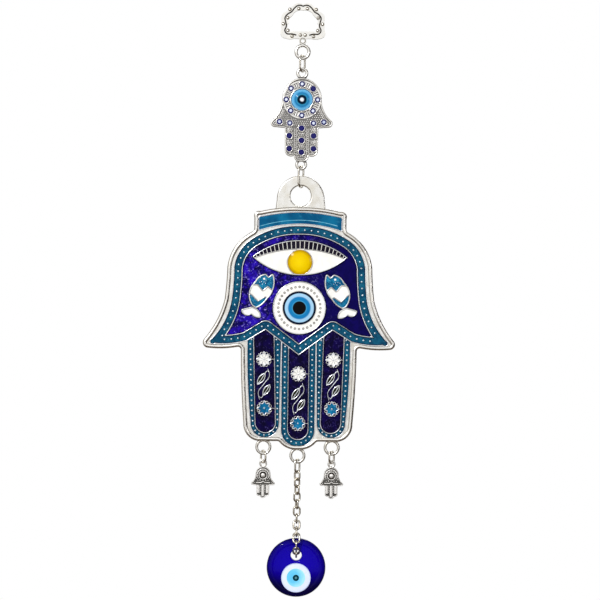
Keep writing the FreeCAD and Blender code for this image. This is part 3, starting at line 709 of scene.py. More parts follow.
# Dark olive: painted shade round the feet of the hanger's granules and in its small eye's rim.
OLIVE_SHADE = Silver("olive_oxidised_ground", (0.17, 0.15, 0.11), (0.30, 0.27, 0.22), rough=0.4)
FINE = Silver("fine_relief_silver", (0.93, 0.92, 0.90), (0.80, 0.79, 0.77), rough=0.42, bump=0.0)
ANTIQUE = Silver("antique_connector_silver", patina=(0.10, 0.096, 0.095), patina_share=0.9,
                 patina_zone=(-77.6, -34.0), front=-1.15, depth=0.16)
CHARM = Silver("antique_charm_silver", patina=(0.03, 0.028, 0.025), patina_share=0.9,
               patina_zone=(-249.0, -232.9), front=-0.95, depth=0.12)
# Dark grey: the eye ring's silver pips, drawn dark as painted shade.
SHADED_PIP = Enamel("pip_painted_shade", (0.10, 0.095, 0.08), (0.22, 0.21, 0.18), rough=0.3)
WHITE = Enamel("white_enamel", (0.80, 0.79, 0.75), (0.88, 0.87, 0.84))
# A painted reflection: the light line where the collar's enamel curves up to its wall.
COLLAR_REFLECTION = Enamel("collar_painted_reflection_enamel", (0.10, 0.42, 0.58), (0.35, 0.66, 0.78))
TEAL = Enamel("teal_enamel", (0.002, 0.042, 0.095), (0.006, 0.095, 0.17), (0.1, 0.4, 0.55), 0.25)
# Painted shade: the dark teal line in the border enamel beside its walls.
TEAL_WALL_SHADE = Enamel("teal_painted_wall_shade", (0.0005, 0.016, 0.045), (0.001, 0.024, 0.06))
COLLAR = Enamel("collar_enamel", (0.001, 0.065, 0.16), (0.004, 0.13, 0.26), (0.1, 0.5, 0.7), 0.1, scale=90.0)
FISH = Enamel("fish_enamel", (0.001, 0.07, 0.17), (0.01, 0.20, 0.36), (0.35, 0.7, 0.8), 0.35, scale=500.0)
# The palm's flecks and pale streaks are painted highlights over the foil, kept to its left side.
PALM = Enamel("palm_enamel", (0.0012, 0.0, 0.05), (0.02, 0.004, 0.38), (0.34, 0.28, 0.85), 0.75, 24.0)
FIELD = Enamel("finger_field_enamel", (0.001, 0.0, 0.014), (0.003, 0.0, 0.045), (0.12, 0.09, 0.4), 0.3)
# Painted shade: the dark navy line in the palm and finger enamel beside its walls.
NAVY_WALL_SHADE = Enamel("navy_painted_wall_shade", (0.0005, 0.0, 0.012), (0.001, 0.0, 0.03))
BLACK = Enamel("black_enamel", (0.004, 0.003, 0.010), (0.012, 0.010, 0.02))
OLIVE = Enamel("olive_enamel", (0.006, 0.008, 0.003), (0.03, 0.034, 0.012), scale=700.0)
FLOWER_BLUE = Enamel("flower_blue_enamel", (0.001, 0.07, 0.17), (0.004, 0.16, 0.33), (0.3, 0.7, 0.9), 0.3)


# Sub-assemblies


@dataclass
class Workshop:
    """What every sub-assembly needs: the frame's nodes, the shared groups and the finishes made so far."""

    nodes: dict[str, Object]
    groups: Groups = field(default_factory=Groups)
    made: dict[str, Material] = field(default_factory=dict)

    def finish(self, finish: Finish) -> Material:
        """The material of a finish, made once."""
        if finish.name not in self.made:
            self.made[finish.name] = finish.build(self.groups)
        return self.made[finish.name]

    def dress(self, finish: Finish, *nodes: str) -> None:
        """Gives nodes of the frame their finish."""
        for node in nodes:
            materials = self.nodes[node].data.materials
            materials.clear()
            materials.append(self.finish(finish))

    def fit(self, piece: Object, body: str, finish: Finish, slot: str = "cast_silver") -> None:
        """Gives a new piece its finish and its body."""
        piece.data.materials.clear()
        piece.data.materials.append(self.finish(finish))
        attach(piece, body)
        LOG.info("%s rides on %s with %d faces", piece.name, body, len(piece.data.polygons))

    def lay(self, name: str, body: str, finish: Finish, lines: Sequence[Line], gauge: Gauge, level: float,
            closed: bool = False, slot: str = "cast_silver") -> None:
        """Lays wire along lines, open or closed, as a new piece."""
        self.fit(wire(lines, gauge, level, name, closed), body, finish, slot)

    def sow(self, name: str, body: str, finish: Finish, spots: Line, dome: Dome, level: float,
            slot: str = "cast_silver") -> None:
        """Sets granules on spots as a new piece."""
        self.fit(strewn(granule(dome), spots, level, name), body, finish, slot)

    def front(self, node: str) -> float:
        """The Y of a node's foremost point, in millimetres."""
        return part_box(node)[0].y / MM

    def centre(self, node: str) -> Flat:
        """The middle of a node as (x, z) in millimetres."""
        low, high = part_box(node)
        return (low.x + high.x) / 2 / MM, (low.z + high.z) / 2 / MM

    def half_width(self, node: str) -> float:
        """Half the width of a node in millimetres."""
        low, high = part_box(node)
        return (high.x - low.x) / 2 / MM

    def loops(self, node: str, level: float | None = None) -> list[list[Flat]]:
        """The outlines of a node's front, or of its faces at a level."""
        return flat_loops(self.nodes[node], self.front(node) if level is None else level)


@dataclass
class Hanger:
    """The openwork frame at the top, with its wavy groove and its granules."""

    groove: Gauge = Gauge(0.36, 0.25)
    groove_half: tuple[Flat, ...] = ((0.0, 2.05), (1.6, 2.5), (3.1, 2.15), (4.6, 0.85), (5.8, -0.8),
                                     (7.9, -2.1), (9.2, -4.0), (8.75, -6.3), (8.45, -8.2), (9.2, -10.4),
                                     (8.0, -12.1), (5.4, -12.2), (3.3, -12.75))
    grain: Dome = Dome(0.62, 0.35)
    grain_half: tuple[Flat, ...] = ((6.7, 0.35), (9.95, -7.1), (5.45, -13.35), (2.2, 0.85), (7.75, -4.0),
                                    (7.6, -10.4), (1.2, -12.7))
    ring: Gauge = Gauge(0.22, 0.3)
    ring_share: float = 1.15
    eye: Flat = (0.0, -15.55)
    eye_radius: float = 1.35
    eye_rim: Gauge = Gauge(0.2, 0.5)

    def build(self, shop: Workshop) -> None:
        """Dresses the frame and adds its groove, its rings and its granules, with the groove and the rings
        drawn dark as painted shade.
        """
        shop.dress(BRIGHT, "hanger")
        level = shop.front("hanger")
        right = smooth_path(self.groove_half)
        # Painted shade: a near-black wire where the wavy groove lies in shade.
        shop.lay("hanger_groove_painted_shade", "hanger", OXIDE_AND_SHADE, [mirror(right)[:0:-1] + right], self.groove, level)
        spots = list(self.grain_half) + mirror(self.grain_half)
        # Painted shade: dark rings round each granule's foot and round the small eye.
        rings = [circle(spot, self.grain.radius * self.ring_share, 20) for spot in spots]
        shop.lay("hanger_grain_rings", "hanger", OLIVE_SHADE, rings, self.ring, level, closed=True)
        rim = [circle(self.eye, self.eye_radius, 24)]
        shop.lay("hanger_eye_rim", "hanger", OLIVE_SHADE, rim, self.eye_rim, level, closed=True)
        shop.sow("hanger_granules", "hanger", BRIGHT, spots, self.grain, level)


@dataclass
class Hand:
    """The big enamelled hand: its casting, cells, cell walls, granule rows and glass."""

    front: float = -1.4
    palm_pitch: float = 3.37
    finger_pitch: float = 2.55
    grain: Dome = Dome(0.48, 0.3)
    wall: float = 0.6
    palm_wall: Gauge = Gauge(0.25, 0.5)
    finger_wall: Gauge = Gauge(0.23, 0.5)
    motif_wall: Gauge = Gauge(0.24, 0.5)
    petal_wall: Gauge = Gauge(0.14, 0.5)
    petal_gap: float = 0.15
    shortest: int = 5
    # The gauge, inset and sink of the dark lines of painted shade in the enamel beside the walls.
    edge: Gauge = Gauge(0.25, 0.25)
    shade_inset: float = 0.04
    shade_sink: float = 0.02
    outline_step: float = 0.6
    march: float = 0.25
    widest: float = 6.0
    thinnest: float = 1.0
    seam: float = 2.0
    rim: Gauge = Gauge(1.05, 0.7)
    rim_inset: float = 0.2
    mark: Gauge = Gauge(0.2, 0.5)
    mark_radius: float = 0.42
    mark_count: int = 32
    mark_share: float = 0.82
    band_blur: float = 0.12
    petal: Gauge = Gauge(0.14, 0.7)
    petal_reach: float = 1.06
    petal_place: float = 0.8
    petal_size: float = 0.17
    petal_sweep: float = 250.0
    bridge: Flat = (0.95, 1.32)
    fold: Gauge = Gauge(0.09, 0.6)
    fold_span: Flat = (0.2, 0.62)
    heart: Dome = Dome(0.5, 0.3)
    vine: Gauge = Gauge(0.19, 0.8)
    leaf_bend: Flat = (0.3, 0.2)
    vein: Flat = (-0.55, -0.75)
    vine_shares: tuple[Flat, ...] = ((0.08, 0.19), (0.115, 0.34), (0.0, 0.51), (-0.105, 0.66), (-0.08, 0.82))
    leaf_shares: tuple[tuple[Flat, ...], ...] = (((0.03, 0.28), (-0.13, 0.52)), ((0.13, 0.51), (-0.01, 0.74)))
    stalk_shares: tuple[tuple[Flat, ...], ...] = (((0.03, 0.28), (0.07, 0.235), (0.105, 0.26)),
                                                  ((-0.01, 0.74), (-0.05, 0.79), (-0.085, 0.76)))
    fish_belly: float = -143.0
    fish_eye: Dome = Dome(0.6, 0.25)
    fish_eye_place: Flat = (-0.3, 1.9)
    scale: Gauge = Gauge(0.1, 0.6)
    scale_stroke: Flat = (0.35, -0.4)
    scale_places: tuple[Flat, ...] = ((1.9, 0.4), (0.4, -0.6), (-1.2, -0.2), (0.9, 0.7), (-0.4, 0.5))
    # The light line along the collar is a painted reflection.
    streak: Gauge = Gauge(0.13, 0.5)
    reflection_rise: float = 1.75
    reflection_half: float = 20.4

    def cells(self, shop: Workshop) -> None:
        """Gives the casting and every enamel its finish."""
        shop.dress(PLATE, "hand_plate")
        shop.dress(TEAL, "enamel_palm_border", *BORDERS)
        shop.dress(FIELD, *FIELDS)
        shop.dress(WHITE, "enamel_eye_white", "enamel_fish_white", "enamel_eye_ring", "enamel_flowers_white")
        for name, finish in (("collar", COLLAR), ("palm_field", PALM), ("lashes", BLACK), ("fish_teal", FISH),
                             ("flowers_blue", FLOWER_BLUE), ("leaves", OLIVE)):
            shop.dress(finish, "enamel_" + name)

    def glass(self, shop: Workshop) -> None:
        """Gives the eye's rings and the iris their banded glass."""
        layers = ["eye_" + layer for layer in ("navy", "light", "middle", "pupil")]
        outer, light, middle, pupil = (shop.half_width(layer) for layer in layers)
        soft = self.band_blur
        navy, pale, blue = (0.004, 0.009, 0.025), (0.33, 0.56, 0.76), (0.008, 0.175, 0.42)
        stops = ((0.0, (0.002, 0.002, 0.002)), (pupil - soft, (0.003, 0.003, 0.004)),
                 (pupil + soft, (0.05, 0.30, 0.52)), (pupil + 5 * soft, blue), (middle - 2 * soft, blue),
                 (middle + 3 * soft, pale), (light - soft, pale), (light + soft, navy), (outer, navy))
        shop.dress(BandedGlass("eye_glass", shop.centre("eye_navy"), stops), *layers)
        reach = shop.half_width("eye_iris")
        yellow, amber = (0.72, 0.47, 0.0), (0.42, 0.24, 0.0)
        stops = ((0.0, (0.80, 0.58, 0.002)), (0.72 * reach, yellow), (0.94 * reach, amber), (reach, amber))
        iris = BandedGlass("iris_glass", shop.centre("eye_iris"), stops, wobble=0.8, rough=0.12)
        shop.dress(iris, "eye_iris")

    def row(self, shop: Workshop, inner: str, cell: str, pitch: float, name: str) -> None:
        """Sets a row of granules along the middle of a border cell.

        Args:
            shop: The workshop.
            inner: The node that the border runs round.
            cell: The border's own node.
            pitch: The step of the row in millimetres.
            name: The name of the new piece.
        """
        level = shop.front(cell)
        spots: list[Flat] = []
        for part in self.midline(shop.loops(inner, level)[0], shop.loops(cell, level)):
            if len(part) >= self.shortest:
                spots += spaced(part, pitch, closed=math.dist(part[0], part[-1]) < self.seam / 2)
        shop.sow(name, "hand", GRAIN, spots, self.grain, level)

    def midline(self, line: Line, border: Sequence[Line]) -> list[list[Flat]]:
        """The runs that keep midway across a border, worked out from the outline that it runs round.

        Args:
            line: The outline inside the border.
            border: The border's own outlines.

        Returns:
            The runs of points, broken wherever the border is too thin for a granule.
        """
        spots: list[Flat | None] = []
        steps = [self.march * k for k in range(1, int(self.widest / self.march))]
        for here, way in outward(line, self.outline_step):
            met = [reach for reach in steps if inside(moved(here, way, reach), border)]
            far = met[0] if met else 0.0
            for reach in met:
                if reach - far > 1.5 * self.march:
                    break
                far = reach
            fits = met and met[0] < 2 * self.wall and far - met[0] > self.thinnest
            spots.append(moved(here, way, (met[0] + far) / 2) if fits else None)
        runs = broken(spots)
        if len(runs) > 1 and runs[-1] and math.dist(runs[-1][-1], runs[0][0]) < self.seam:
            runs[0] = runs.pop() + runs[0]
        return runs

    def line(self, shop: Workshop, nodes: Sequence[str], distance: float, gauge: Gauge, level: float,
             name: str, finish: Finish, slot: str = "cast_silver") -> None:
        """Lays wire beside the edges of enamels, as the round top of a wall or as a dark line of painted
        shade beside it.

        Args:
            shop: The workshop.
            nodes: The enamels whose edges are followed.
            distance: How far off the enamels the wire runs in millimetres, over them where negative.
            gauge: The wire's gauge.
            level: The Y of the wire's middle, in millimetres.
            name: The name of the new piece.
            finish: Its finish.
            slot: Not used.
        """
        found: dict[bool, list[Line]] = {False: [], True: []}
        for loop in (loop for node in nodes for loop in shop.loops(node)):
            for run, whole in offset_runs(loop, distance):
                if len(run) > self.shortest:
                    found[whole].append(run)
        parts = [wire(lines, gauge, level, name, whole) for whole, lines in found.items() if lines]
        shop.fit(joined(parts, name), "hand", finish, slot)

    def flower(self, centre: Flat, reach: float) -> list[list[Flat]]:
        """The looped outer petals of one flower, and the bridge to its wall."""
        x, z = centre
        start, end = self.bridge
        petals = [arc(around(centre, turn, reach * self.petal_place), reach * self.petal_size,
                      turn - self.petal_sweep / 2, self.petal_sweep, 8) for turn in EIGHTHS]
        return petals + [[(x + reach * start, z + 0.2), (x + reach * end, z)]]

    def stem(self, white: Flat, blue: Flat) -> list[list[Flat]]:
        """The vine, midribs and stalks between one white and one blue flower."""
        drop = white[1] - blue[1]

        def spots(shares: Line) -> list[Flat]:
            """The places of shares of the stem."""
            return [(white[0] + x * drop, white[1] - z * drop) for x, z in shares]

        lines = [smooth_path(spots(self.vine_shares), 8)]
        for a, b in map(spots, self.leaf_shares):
            bend = moved(((a[0] + b[0]) / 2, (a[1] + b[1]) / 2), self.leaf_bend, 1.0)
            start = ((a[0] + bend[0]) / 2, (a[1] + bend[1]) / 2)
            lines += [smooth_path([a, bend, b], 5), [start, moved(start, self.vein, 1.0)]]
        return lines + [smooth_path(spots(shares), 5) for shares in self.stalk_shares]

    def flowers(self, shop: Workshop) -> None:
        """Lays the petals, hearts and vines of the fingers."""
        petals, stems, hearts, folds = [], [], [], []
        whites, blues = (sorted(solids(shop.nodes["enamel_flowers_" + tint])) for tint in ("white", "blue"))
        for white, blue in zip(whites, blues):
            for x, z, reach in (white, blue):
                petals += self.flower((x, z), reach * self.petal_reach)
                hearts.append((x, z))
            stems += self.stem(white[:2], blue[:2])
            folds += [[around(white[:2], turn, white[2] * share) for share in self.fold_span]
                      for turn in EIGHTHS]
        level = shop.front("enamel_flowers_white")
        shop.lay("flower_petal_folds", "hand", PETAL_WALL, folds, self.fold, level)
        shop.lay("flower_wires", "hand", PALE_MOTIF, petals, self.petal, self.front)
        shop.lay("vine_wires", "hand", CLOISON, stems, self.vine, self.front)
        shop.sow("flower_hearts", "hand", CLOISON, hearts, self.heart, level)

    def fish(self, shop: Workshop) -> None:
        """Lays the marks on the fish's heads and their eyes."""
        marks, eyes = [], []
        for x, z, _ in solids(shop.nodes["enamel_fish_teal"]):
            if z > self.fish_belly:
                side = 1 if x > 0 else -1
                eyes.append((x + side * self.fish_eye_place[0], z + self.fish_eye_place[1]))
                across, up = self.scale_stroke
                for dx, dz in self.scale_places:
                    start = (x + side * dx, z + dz)
                    marks.append([start, (start[0] + side * across, start[1] + up)])
        level = shop.front("enamel_fish_teal")
        shop.lay("fish_strokes", "hand", GRAIN, marks, self.scale, level)
        shop.sow("fish_eyes", "hand", WHITE, eyes, self.fish_eye, level, "white_enamel")

    def collar(self, shop: Workshop) -> None:
        """Lays a painted reflection: a light line along the lower part of the collar, where the enamel's
        curved edge mirrors the light.
        """
        cell = shop.loops("enamel_collar")[0]
        middle = (min(z for _, z in cell) + max(z for _, z in cell)) / 2
        lower = sorted((x, z) for x, z in spaced(cell, 0.5) if z < middle and abs(x) < self.reflection_half)
        streak = smooth_path([(x, z + self.reflection_rise) for x, z in lower[::5]], 3)
        shop.lay("collar_painted_reflection", "hand", COLLAR_REFLECTION, [streak], self.streak, shop.front("enamel_collar"),
                 slot="collar_blue_enamel")

    def build(self, shop: Workshop) -> None:
        """Dresses the hand, rounds its walls and sets its granules."""
        self.cells(shop)
        self.glass(shop)
        half, front, palm = self.wall / 2, self.front, ["enamel_palm_border", "enamel_palm_field"]
        self.line(shop, ["enamel_collar", *palm], half, self.palm_wall, front, "palm_walls", CLOISON)
        run, whole = offset_runs(shop.loops("hand_plate", front)[0], -self.rim_inset)[0]
        shop.lay("hand_rim", "hand", RIM, [run], self.rim, front, closed=whole)
        self.line(shop, BORDERS + FIELDS, half, self.finger_wall, front, "finger_walls", CLOISON)
        # These wires are painted shade, a dark line in each enamel beside its walls.
        for cells, name, finish, slot in ((palm[:1] + BORDERS, "border_wall_shade", TEAL_WALL_SHADE, "teal_enamel"),
                                          (palm[1:] + FIELDS, "field_wall_shade", NAVY_WALL_SHADE, "indigo_enamel")):
            self.line(shop, cells, -self.shade_inset, self.edge, front + self.shade_sink, name, finish, slot)
        self.line(shop, ["enamel_fish_teal", "enamel_fish_white", "enamel_eye_white"], self.motif_wall.radius,
                  self.motif_wall, front, "motif_walls", SHADED_MOTIF_WALL)
        self.line(shop, ["enamel_leaves", "enamel_flowers_white", "enamel_flowers_blue"], self.petal_gap,
                  self.petal_wall, front, "petal_walls", PETAL_WALL)
        self.row(shop, palm[1], palm[0], self.palm_pitch, "palm_border_granules")
        for finger, inner, cell in zip(Finger, FIELDS, BORDERS):
            self.row(shop, inner, cell, self.finger_pitch, "finger_granules_" + finger.value)
        # The pips are silver drawn dark grey as painted shade.
        reach = shop.half_width("enamel_eye_ring") * self.mark_share
        marks = circle(shop.centre("enamel_eye_ring"), reach, self.mark_count)
        shop.lay("eye_ring_marks", "hand", SHADED_PIP, [circle(mark, self.mark_radius, 12) for mark in marks],
                 self.mark, shop.front("enamel_eye_ring"), closed=True)
        self.flowers(shop)
        self.fish(shop)
        self.collar(shop)


@dataclass
class Connector:
    """The small hand under the hanger: crystals, bezel, flutes and beaded grooves."""

    level: float = -0.9
    rim: Gauge = Gauge(0.4, 0.8)
    inner_rim: Gauge = Gauge(0.15)
    inner_inset: float = 1.35
    groove: Gauge = Gauge(0.5, 0.2)
    groove_edge: Gauge = Gauge(0.13)
    groove_x: float = 3.15
    groove_gap: float = 0.5
    groove_span: Flat = (-73.1, -60.2)
    bead_pitch: float = 0.95
    finger_x: float = 6.2
    finger_half: float = 0.8
    finger_drop: float = 10.0
    row_gap: float = 0.45
    row_pitch: float = 0.85
    field_rows: int = 44
    field_half: int = 15
    field_rise: float = 12.0
    field_groove: float = -59.5
    grain: Dome = Dome(0.33, 0.3)
    stone_radius: float = 1.62
    table_share: float = 0.58
    facet_angle: float = 10.0
    lit_drop: float = 13.0
    unlit_corner: Flat = (4.0, 3.0)
    cup: Gauge = Gauge(0.15)
    cup_radius: float = 1.76
    flute: Gauge = Gauge(0.26, 0.6)
    flute_ends: tuple[Flat, ...] = ((-7.5, 6.6), (0.0, 6.3), (7.5, 6.6))
    flute_reach: float = 8.9
    collar: Gauge = Gauge(0.35)
    collar_radius: float = 5.85
    stone_clearance: float = 2.05
    eye_clearance: float = 10.3
    edge_clearance: float = 1.75
    groove_clearance: float = 0.95

    def glass(self, shop: Workshop) -> None:
        """Gives the eye's dome its rings, with a painted glint in the middle of the pupil and a painted
        shadow round the dome's foot.
        """
        layers = ["connector_eye_" + layer for layer in ("rim", "ring", "pupil")]
        outer, ring, pupil = (shop.half_width(layer) for layer in layers)
        # The light middle of the pupil is a painted glint, and the dark last band is a painted shadow round
        # the dome's foot.
        stops = ((0.0, (0.75, 0.8, 0.85)), (0.35 * pupil, (0.7, 0.75, 0.8)),
                 (0.55 * pupil, (0.0, 0.008, 0.02)), (pupil, (0.0, 0.01, 0.03)),
                 (1.2 * pupil, (0.03, 0.24, 0.42)), (0.9 * ring, (0.012, 0.15, 0.36)),
                 (1.12 * ring, (0.10, 0.38, 0.64)), (0.93 * outer, (0.16, 0.42, 0.68)),
                 (outer, (0.04, 0.10, 0.2)))
        dome = BandedGlass("cabochon_glass", shop.centre(layers[0]), stops, wobble=0.4, rough=0.1)
        shop.dress(dome, *layers)

    def stones(self, shop: Workshop, eye: Flat) -> list[Flat]:
        """Sets a cut crystal in each cup, with a pale table of painted glint in the upper ones, and gives the
        places.
        """
        navy = BandedGlass("navy_crystal", eye, ((0.0, (0.012, 0.014, 0.10)), (14.0, (0.006, 0.005, 0.11)),
                                                 (28.0, (0.004, 0.003, 0.09))), wobble=12.0, gloss=0.25)
        # Painted glint: the pale tables stand for the light that the crystals' tables mirror.
        dull = (0.44, 0.50, 0.66)
        pale = BandedGlass("crystal_table_painted_glint", eye, ((0.0, dull), (9.0, (0.66, 0.71, 0.84)), (18.0, dull)),
                           wobble=14.0, gloss=0.2)
        shop.dress(navy, "connector_crystals")
        places = [(x, z) for x, z, _ in solids(shop.nodes["connector_crystals"])]
        # Every crystal above the fingers gets a pale table as a painted glint, but for the one at the upper
        # right.
        right, rise = self.unlit_corner
        lit = [(x, z) for x, z in places
               if z > eye[1] - self.lit_drop and not (x > right and z > eye[1] + rise)]
        level, radius = shop.front("connector_crystals"), self.stone_radius
        crown = cut_stone(radius, radius * self.table_share, 0.5)
        table = cut_stone(radius * 0.5, radius * 0.4, 0.12)
        for name, stone, spots, sink, finish in (("connector_stones", crown, places, 0.2, navy),
                                                 ("connector_painted_stone_glints", table, lit, -0.1, pale)):
            piece = strewn(stone, spots, level + sink, name, self.facet_angle)
            shop.fit(piece, "connector", finish, "navy_crystal")
        cups = [circle(spot, self.cup_radius, 18) for spot in places]
        shop.lay("connector_cups", "connector", BRIGHT, cups, self.cup, level + 0.35, closed=True)
        return places

    def beading(self, places: Sequence[Flat], eye: Flat) -> list[Flat]:
        """The granules in the two grooves, and the pairs of rows between the fingers' crystals."""
        low, high = self.groove_span
        spots = []
        for side in (-1, 1):
            spots += [(side * self.groove_x, high - self.bead_pitch * (k + 0.5))
                      for k in range(int((high - low) / self.bead_pitch))]
        for x in (-self.finger_x, 0, self.finger_x):
            column = sorted(p[1] for p in places
                            if abs(p[0] - x) < self.finger_half and p[1] < eye[1] - self.finger_drop)
            for below, above in zip(column, column[1:]):
                spots += [(x + k * self.row_pitch, below + (above - below) / 2 + side * self.row_gap)
                          for side in (-1, 1) for k in (-1, 0, 1)]
        return spots

    def build(self, shop: Workshop) -> None:
        """Dresses the plate, its glass and its crystals, and lays its wirework."""
        shop.dress(ANTIQUE, "connector_plate")
        self.glass(shop)
        level, eye = self.level, shop.centre("connector_eye_rim")
        places = self.stones(shop, eye)
        outline = shop.loops("connector_plate", level)[0]
        outer = [run for run, _ in offset_runs(outline, -self.rim.radius)]
        shop.lay("connector_rim", "connector", BRIGHT, outer, self.rim, level, closed=len(outer) == 1)
        inner = [run for run, _ in offset_runs(outline, -self.inner_inset) if len(run) > 8]
        free = [[spot for spot in run if self.clear(spot, places, eye)] for run in inner]
        lines = [run for run in split_runs(free, 1.0) if len(run) > 4]
        shop.lay("connector_inner_rim", "connector", FINE, lines, self.inner_rim, level)
        low, high = self.groove_span
        grounds = [[(x, high), (x, low)] for x in (-self.groove_x, self.groove_x)]
        edges = [[(x + gap, z) for x, z in ground]
                 for ground in grounds for gap in (-self.groove_gap, self.groove_gap)]
        shop.lay("connector_groove_ground", "connector", OXIDE_AND_SHADE, grounds, self.groove, level)
        shop.lay("connector_groove_edges", "connector", FINE, edges, self.groove_edge, level)
        grains = [(x * 0.93, z) for run in free for x, z in spaced(run, 0.9, closed=False)]
        grains += self.beading(places, eye) + self.filling(outline, places, eye)
        shop.sow("connector_granules", "connector", FINE, grains, self.grain, level)
        flutes = [[around(eye, middle + turn, reach) for reach in (start, self.flute_reach)]
                  for middle in EIGHTHS for turn, start in self.flute_ends]
        shop.lay("connector_flutes", "connector", FINE, flutes, self.flute, level)
        collar = [circle(eye, self.collar_radius, 48)]
        shop.lay("connector_bezel_collar", "connector", BRIGHT, collar, self.collar, level - 0.2, closed=True)

    def filling(self, outline: Line, places: Sequence[Flat], eye: Flat) -> list[Flat]:
        """The granules that fill the ground between the dome, the crystals and the grooves.

        Args:
            outline: The plate's outline.
            places: The crystals' middles.
            eye: The middle of the dome's eye.

        Returns:
            The granules' places.
        """
        edge = spaced(outline, 0.5)
        spots = []
        for row in range(self.field_rows):
            for column in range(-self.field_half, self.field_half + 1):
                x, z = spot = (column + 0.5 * (row % 2), eye[1] + self.field_rise - row)
                grooved = abs(abs(x) - self.groove_x) < self.groove_clearance and z < self.field_groove
                if not grooved and inside(spot, [outline]) and self.clear(spot, places, eye):
                    if min(math.dist(spot, corner) for corner in edge) > self.edge_clearance:
                        spots.append(spot)
        return spots

    def clear(self, spot: Flat, places: Sequence[Flat], eye: Flat) -> bool:
        """Whether a point lies clear of the crystals' cups and of the dome's bezel."""
        return (min(math.dist(spot, p) for p in places) > self.stone_clearance
                and math.dist(spot, eye) > self.eye_clearance)


@dataclass
class Charms:
    """The two hand charms and the links that they hang from."""

    height: float = 16.0
    rim: Gauge = Gauge(0.22, 0.8)
    band: Gauge = Gauge(0.22, 0.5)
    band_radius: float = 3.1
    bezel: Gauge = Gauge(0.24)
    bezel_drop: float = 4.4
    bezel_radius: float = 2.05
    moat: Gauge = Gauge(0.34, 0.2)
    moat_radius: float = 1.5
    boss: Dome = Dome(1.1, 0.35)
    grain: Dome = Dome(0.27, 0.25)
    grain_radius: float = 2.75
    grain_places: tuple[Flat, ...] = ((2.6, 1.2), (3.3, 2.1), (1.4, 1.2), (4.5, 0.1), (5.0, -0.35))
    root_drop: float = 8.4
    root_line: tuple[Flat, ...] = ((-3.6, 0.2), (-1.0, 0.2), (0.0, 0.9), (1.0, 0.2), (3.6, 0.2))
    finger: Gauge = Gauge(0.7, 0.22)
    finger_top: float = 0.9
    finger_ends: tuple[Flat, ...] = ((-2.3, 5.0), (0.0, 6.6), (2.3, 5.0))
    mark: Dome = Dome(0.24, 0.2)
    mark_x: float = 1.15
    mark_top: float = 1.0
    mark_pitch: float = 0.8
    mark_count: int = 5

    def relief(self, shop: Workshop, node: str, axis: float, top: float) -> None:
        """Lays the raised silver of one charm over its blackened ground.

        Args:
            shop: The workshop.
            node: The charm's node.
            axis: The X of the charm's middle in millimetres.
            top: The Z of the top of its dome in millimetres.
        """
        level, root, centre = shop.front(node), top - self.root_drop, (axis, top - self.bezel_drop)

        def lay(name: str, lines: Sequence[Line], gauge: Gauge, closed: bool = False,
                finish: Finish = FINE) -> None:
            """Lays one kind of wire on the charm."""
            shop.lay(node + name, node, finish, lines, gauge, level, closed, "antique_silver")

        def sow(name: str, spots: Line, dome: Dome) -> None:
            """Sets one kind of granule on the charm."""
            shop.sow(node + name, node, FINE, spots, dome, level, "antique_silver")

        lay("_rim", [run for run, _ in offset_runs(shop.loops(node)[0], -self.rim.radius)], self.rim, True)
        lay("_bands", [arc(centre, self.band_radius, -115, 230, 24),
                       [(axis + x, root + z) for x, z in self.root_line]], self.band)
        lay("_bezel", [circle(centre, self.bezel_radius, 28)], self.bezel, True)
        lay("_fingers", [[(axis + x, root - self.finger_top), (axis + x, root - depth)]
                         for x, depth in self.finger_ends], self.finger)
        sow("_finger_marks", [(axis + side * self.mark_x, root - self.mark_top - self.mark_pitch * k)
                              for side in (-1, 1) for k in range(self.mark_count)], self.mark)
        lay("_moat", [circle(centre, self.moat_radius, 28)], self.moat, True, OXIDE_AND_SHADE)
        dots = [around(centre, -150 + 25 * k, self.grain_radius) for k in range(13)]
        dots += [(axis + side * x, root + z) for x, z in self.grain_places for side in (-1, 1)]
        sow("_granules", dots, self.grain)
        sow("_boss", [centre], self.boss)

    def build(self, shop: Workshop) -> None:
        """Dresses the charms and lays their relief."""
        for node in (finger.value + "_charm" for finger in (Finger.LEFT, Finger.RIGHT)):
            shop.dress(CHARM, node)
            shop.dress(DRAWN, node + "_link")
            low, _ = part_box(node)
            self.relief(shop, node, shop.centre(node)[0], low.z / MM + self.height)


@dataclass
class Strand:
    """The links, the chain and the glass eye bead that hangs on it."""

    def build(self, shop: Workshop) -> None:
        """Dresses the links, the chain and the bead."""
        shop.dress(DRAWN, "upper_link", "middle_link", "drop_link")
        shop.dress(CHAIN, "bead_chain_loop", *(node for node in shop.nodes if node.startswith("chain_link")))
        centre, drop = shop.centre("bead_glass"), shop.centre("bead_white")
        stops = ((0.0, (0.006, 0.0, 0.38)), (11.0, (0.005, 0.0, 0.30)), (14.0, (0.004, 0.001, 0.16)),
                 (15.0, (0.002, 0.0, 0.07)))
        # Painted shade: the cobalt goes dark towards the bead's bottom.
        shop.dress(BandedGlass("cobalt_glass", centre, stops, wobble=1.5, shade=(0.002, 0.001, 0.03),
                               shade_span=(centre[1] - 11, centre[1] + 2)), "bead_glass")
        white, hollow = (0.70, 0.77, 0.95), (0.56, 0.62, 0.88)
        shop.dress(BandedGlass("drop_white", drop, ((0.0, white), (6.6, white), (7.5, hollow))), "bead_white")
        stops = ((0.0, (0.10, 0.50, 0.80)), (3.0, (0.14, 0.56, 0.84)), (5.5, (0.36, 0.76, 0.95)))
        shop.dress(BandedGlass("drop_sky", (drop[0] - 1.5, drop[1] + 0.5), stops, wobble=1.2), "bead_sky")
        stops = ((0.0, (0.20, 0.40, 0.45)), (0.6, (0.01, 0.10, 0.13)), (1.0, (0.0, 0.02, 0.035)),
                 (1.6, (0.0, 0.03, 0.05)))
        shop.dress(BandedGlass("drop_pupil", drop, stops), "bead_pupil")


# Stage


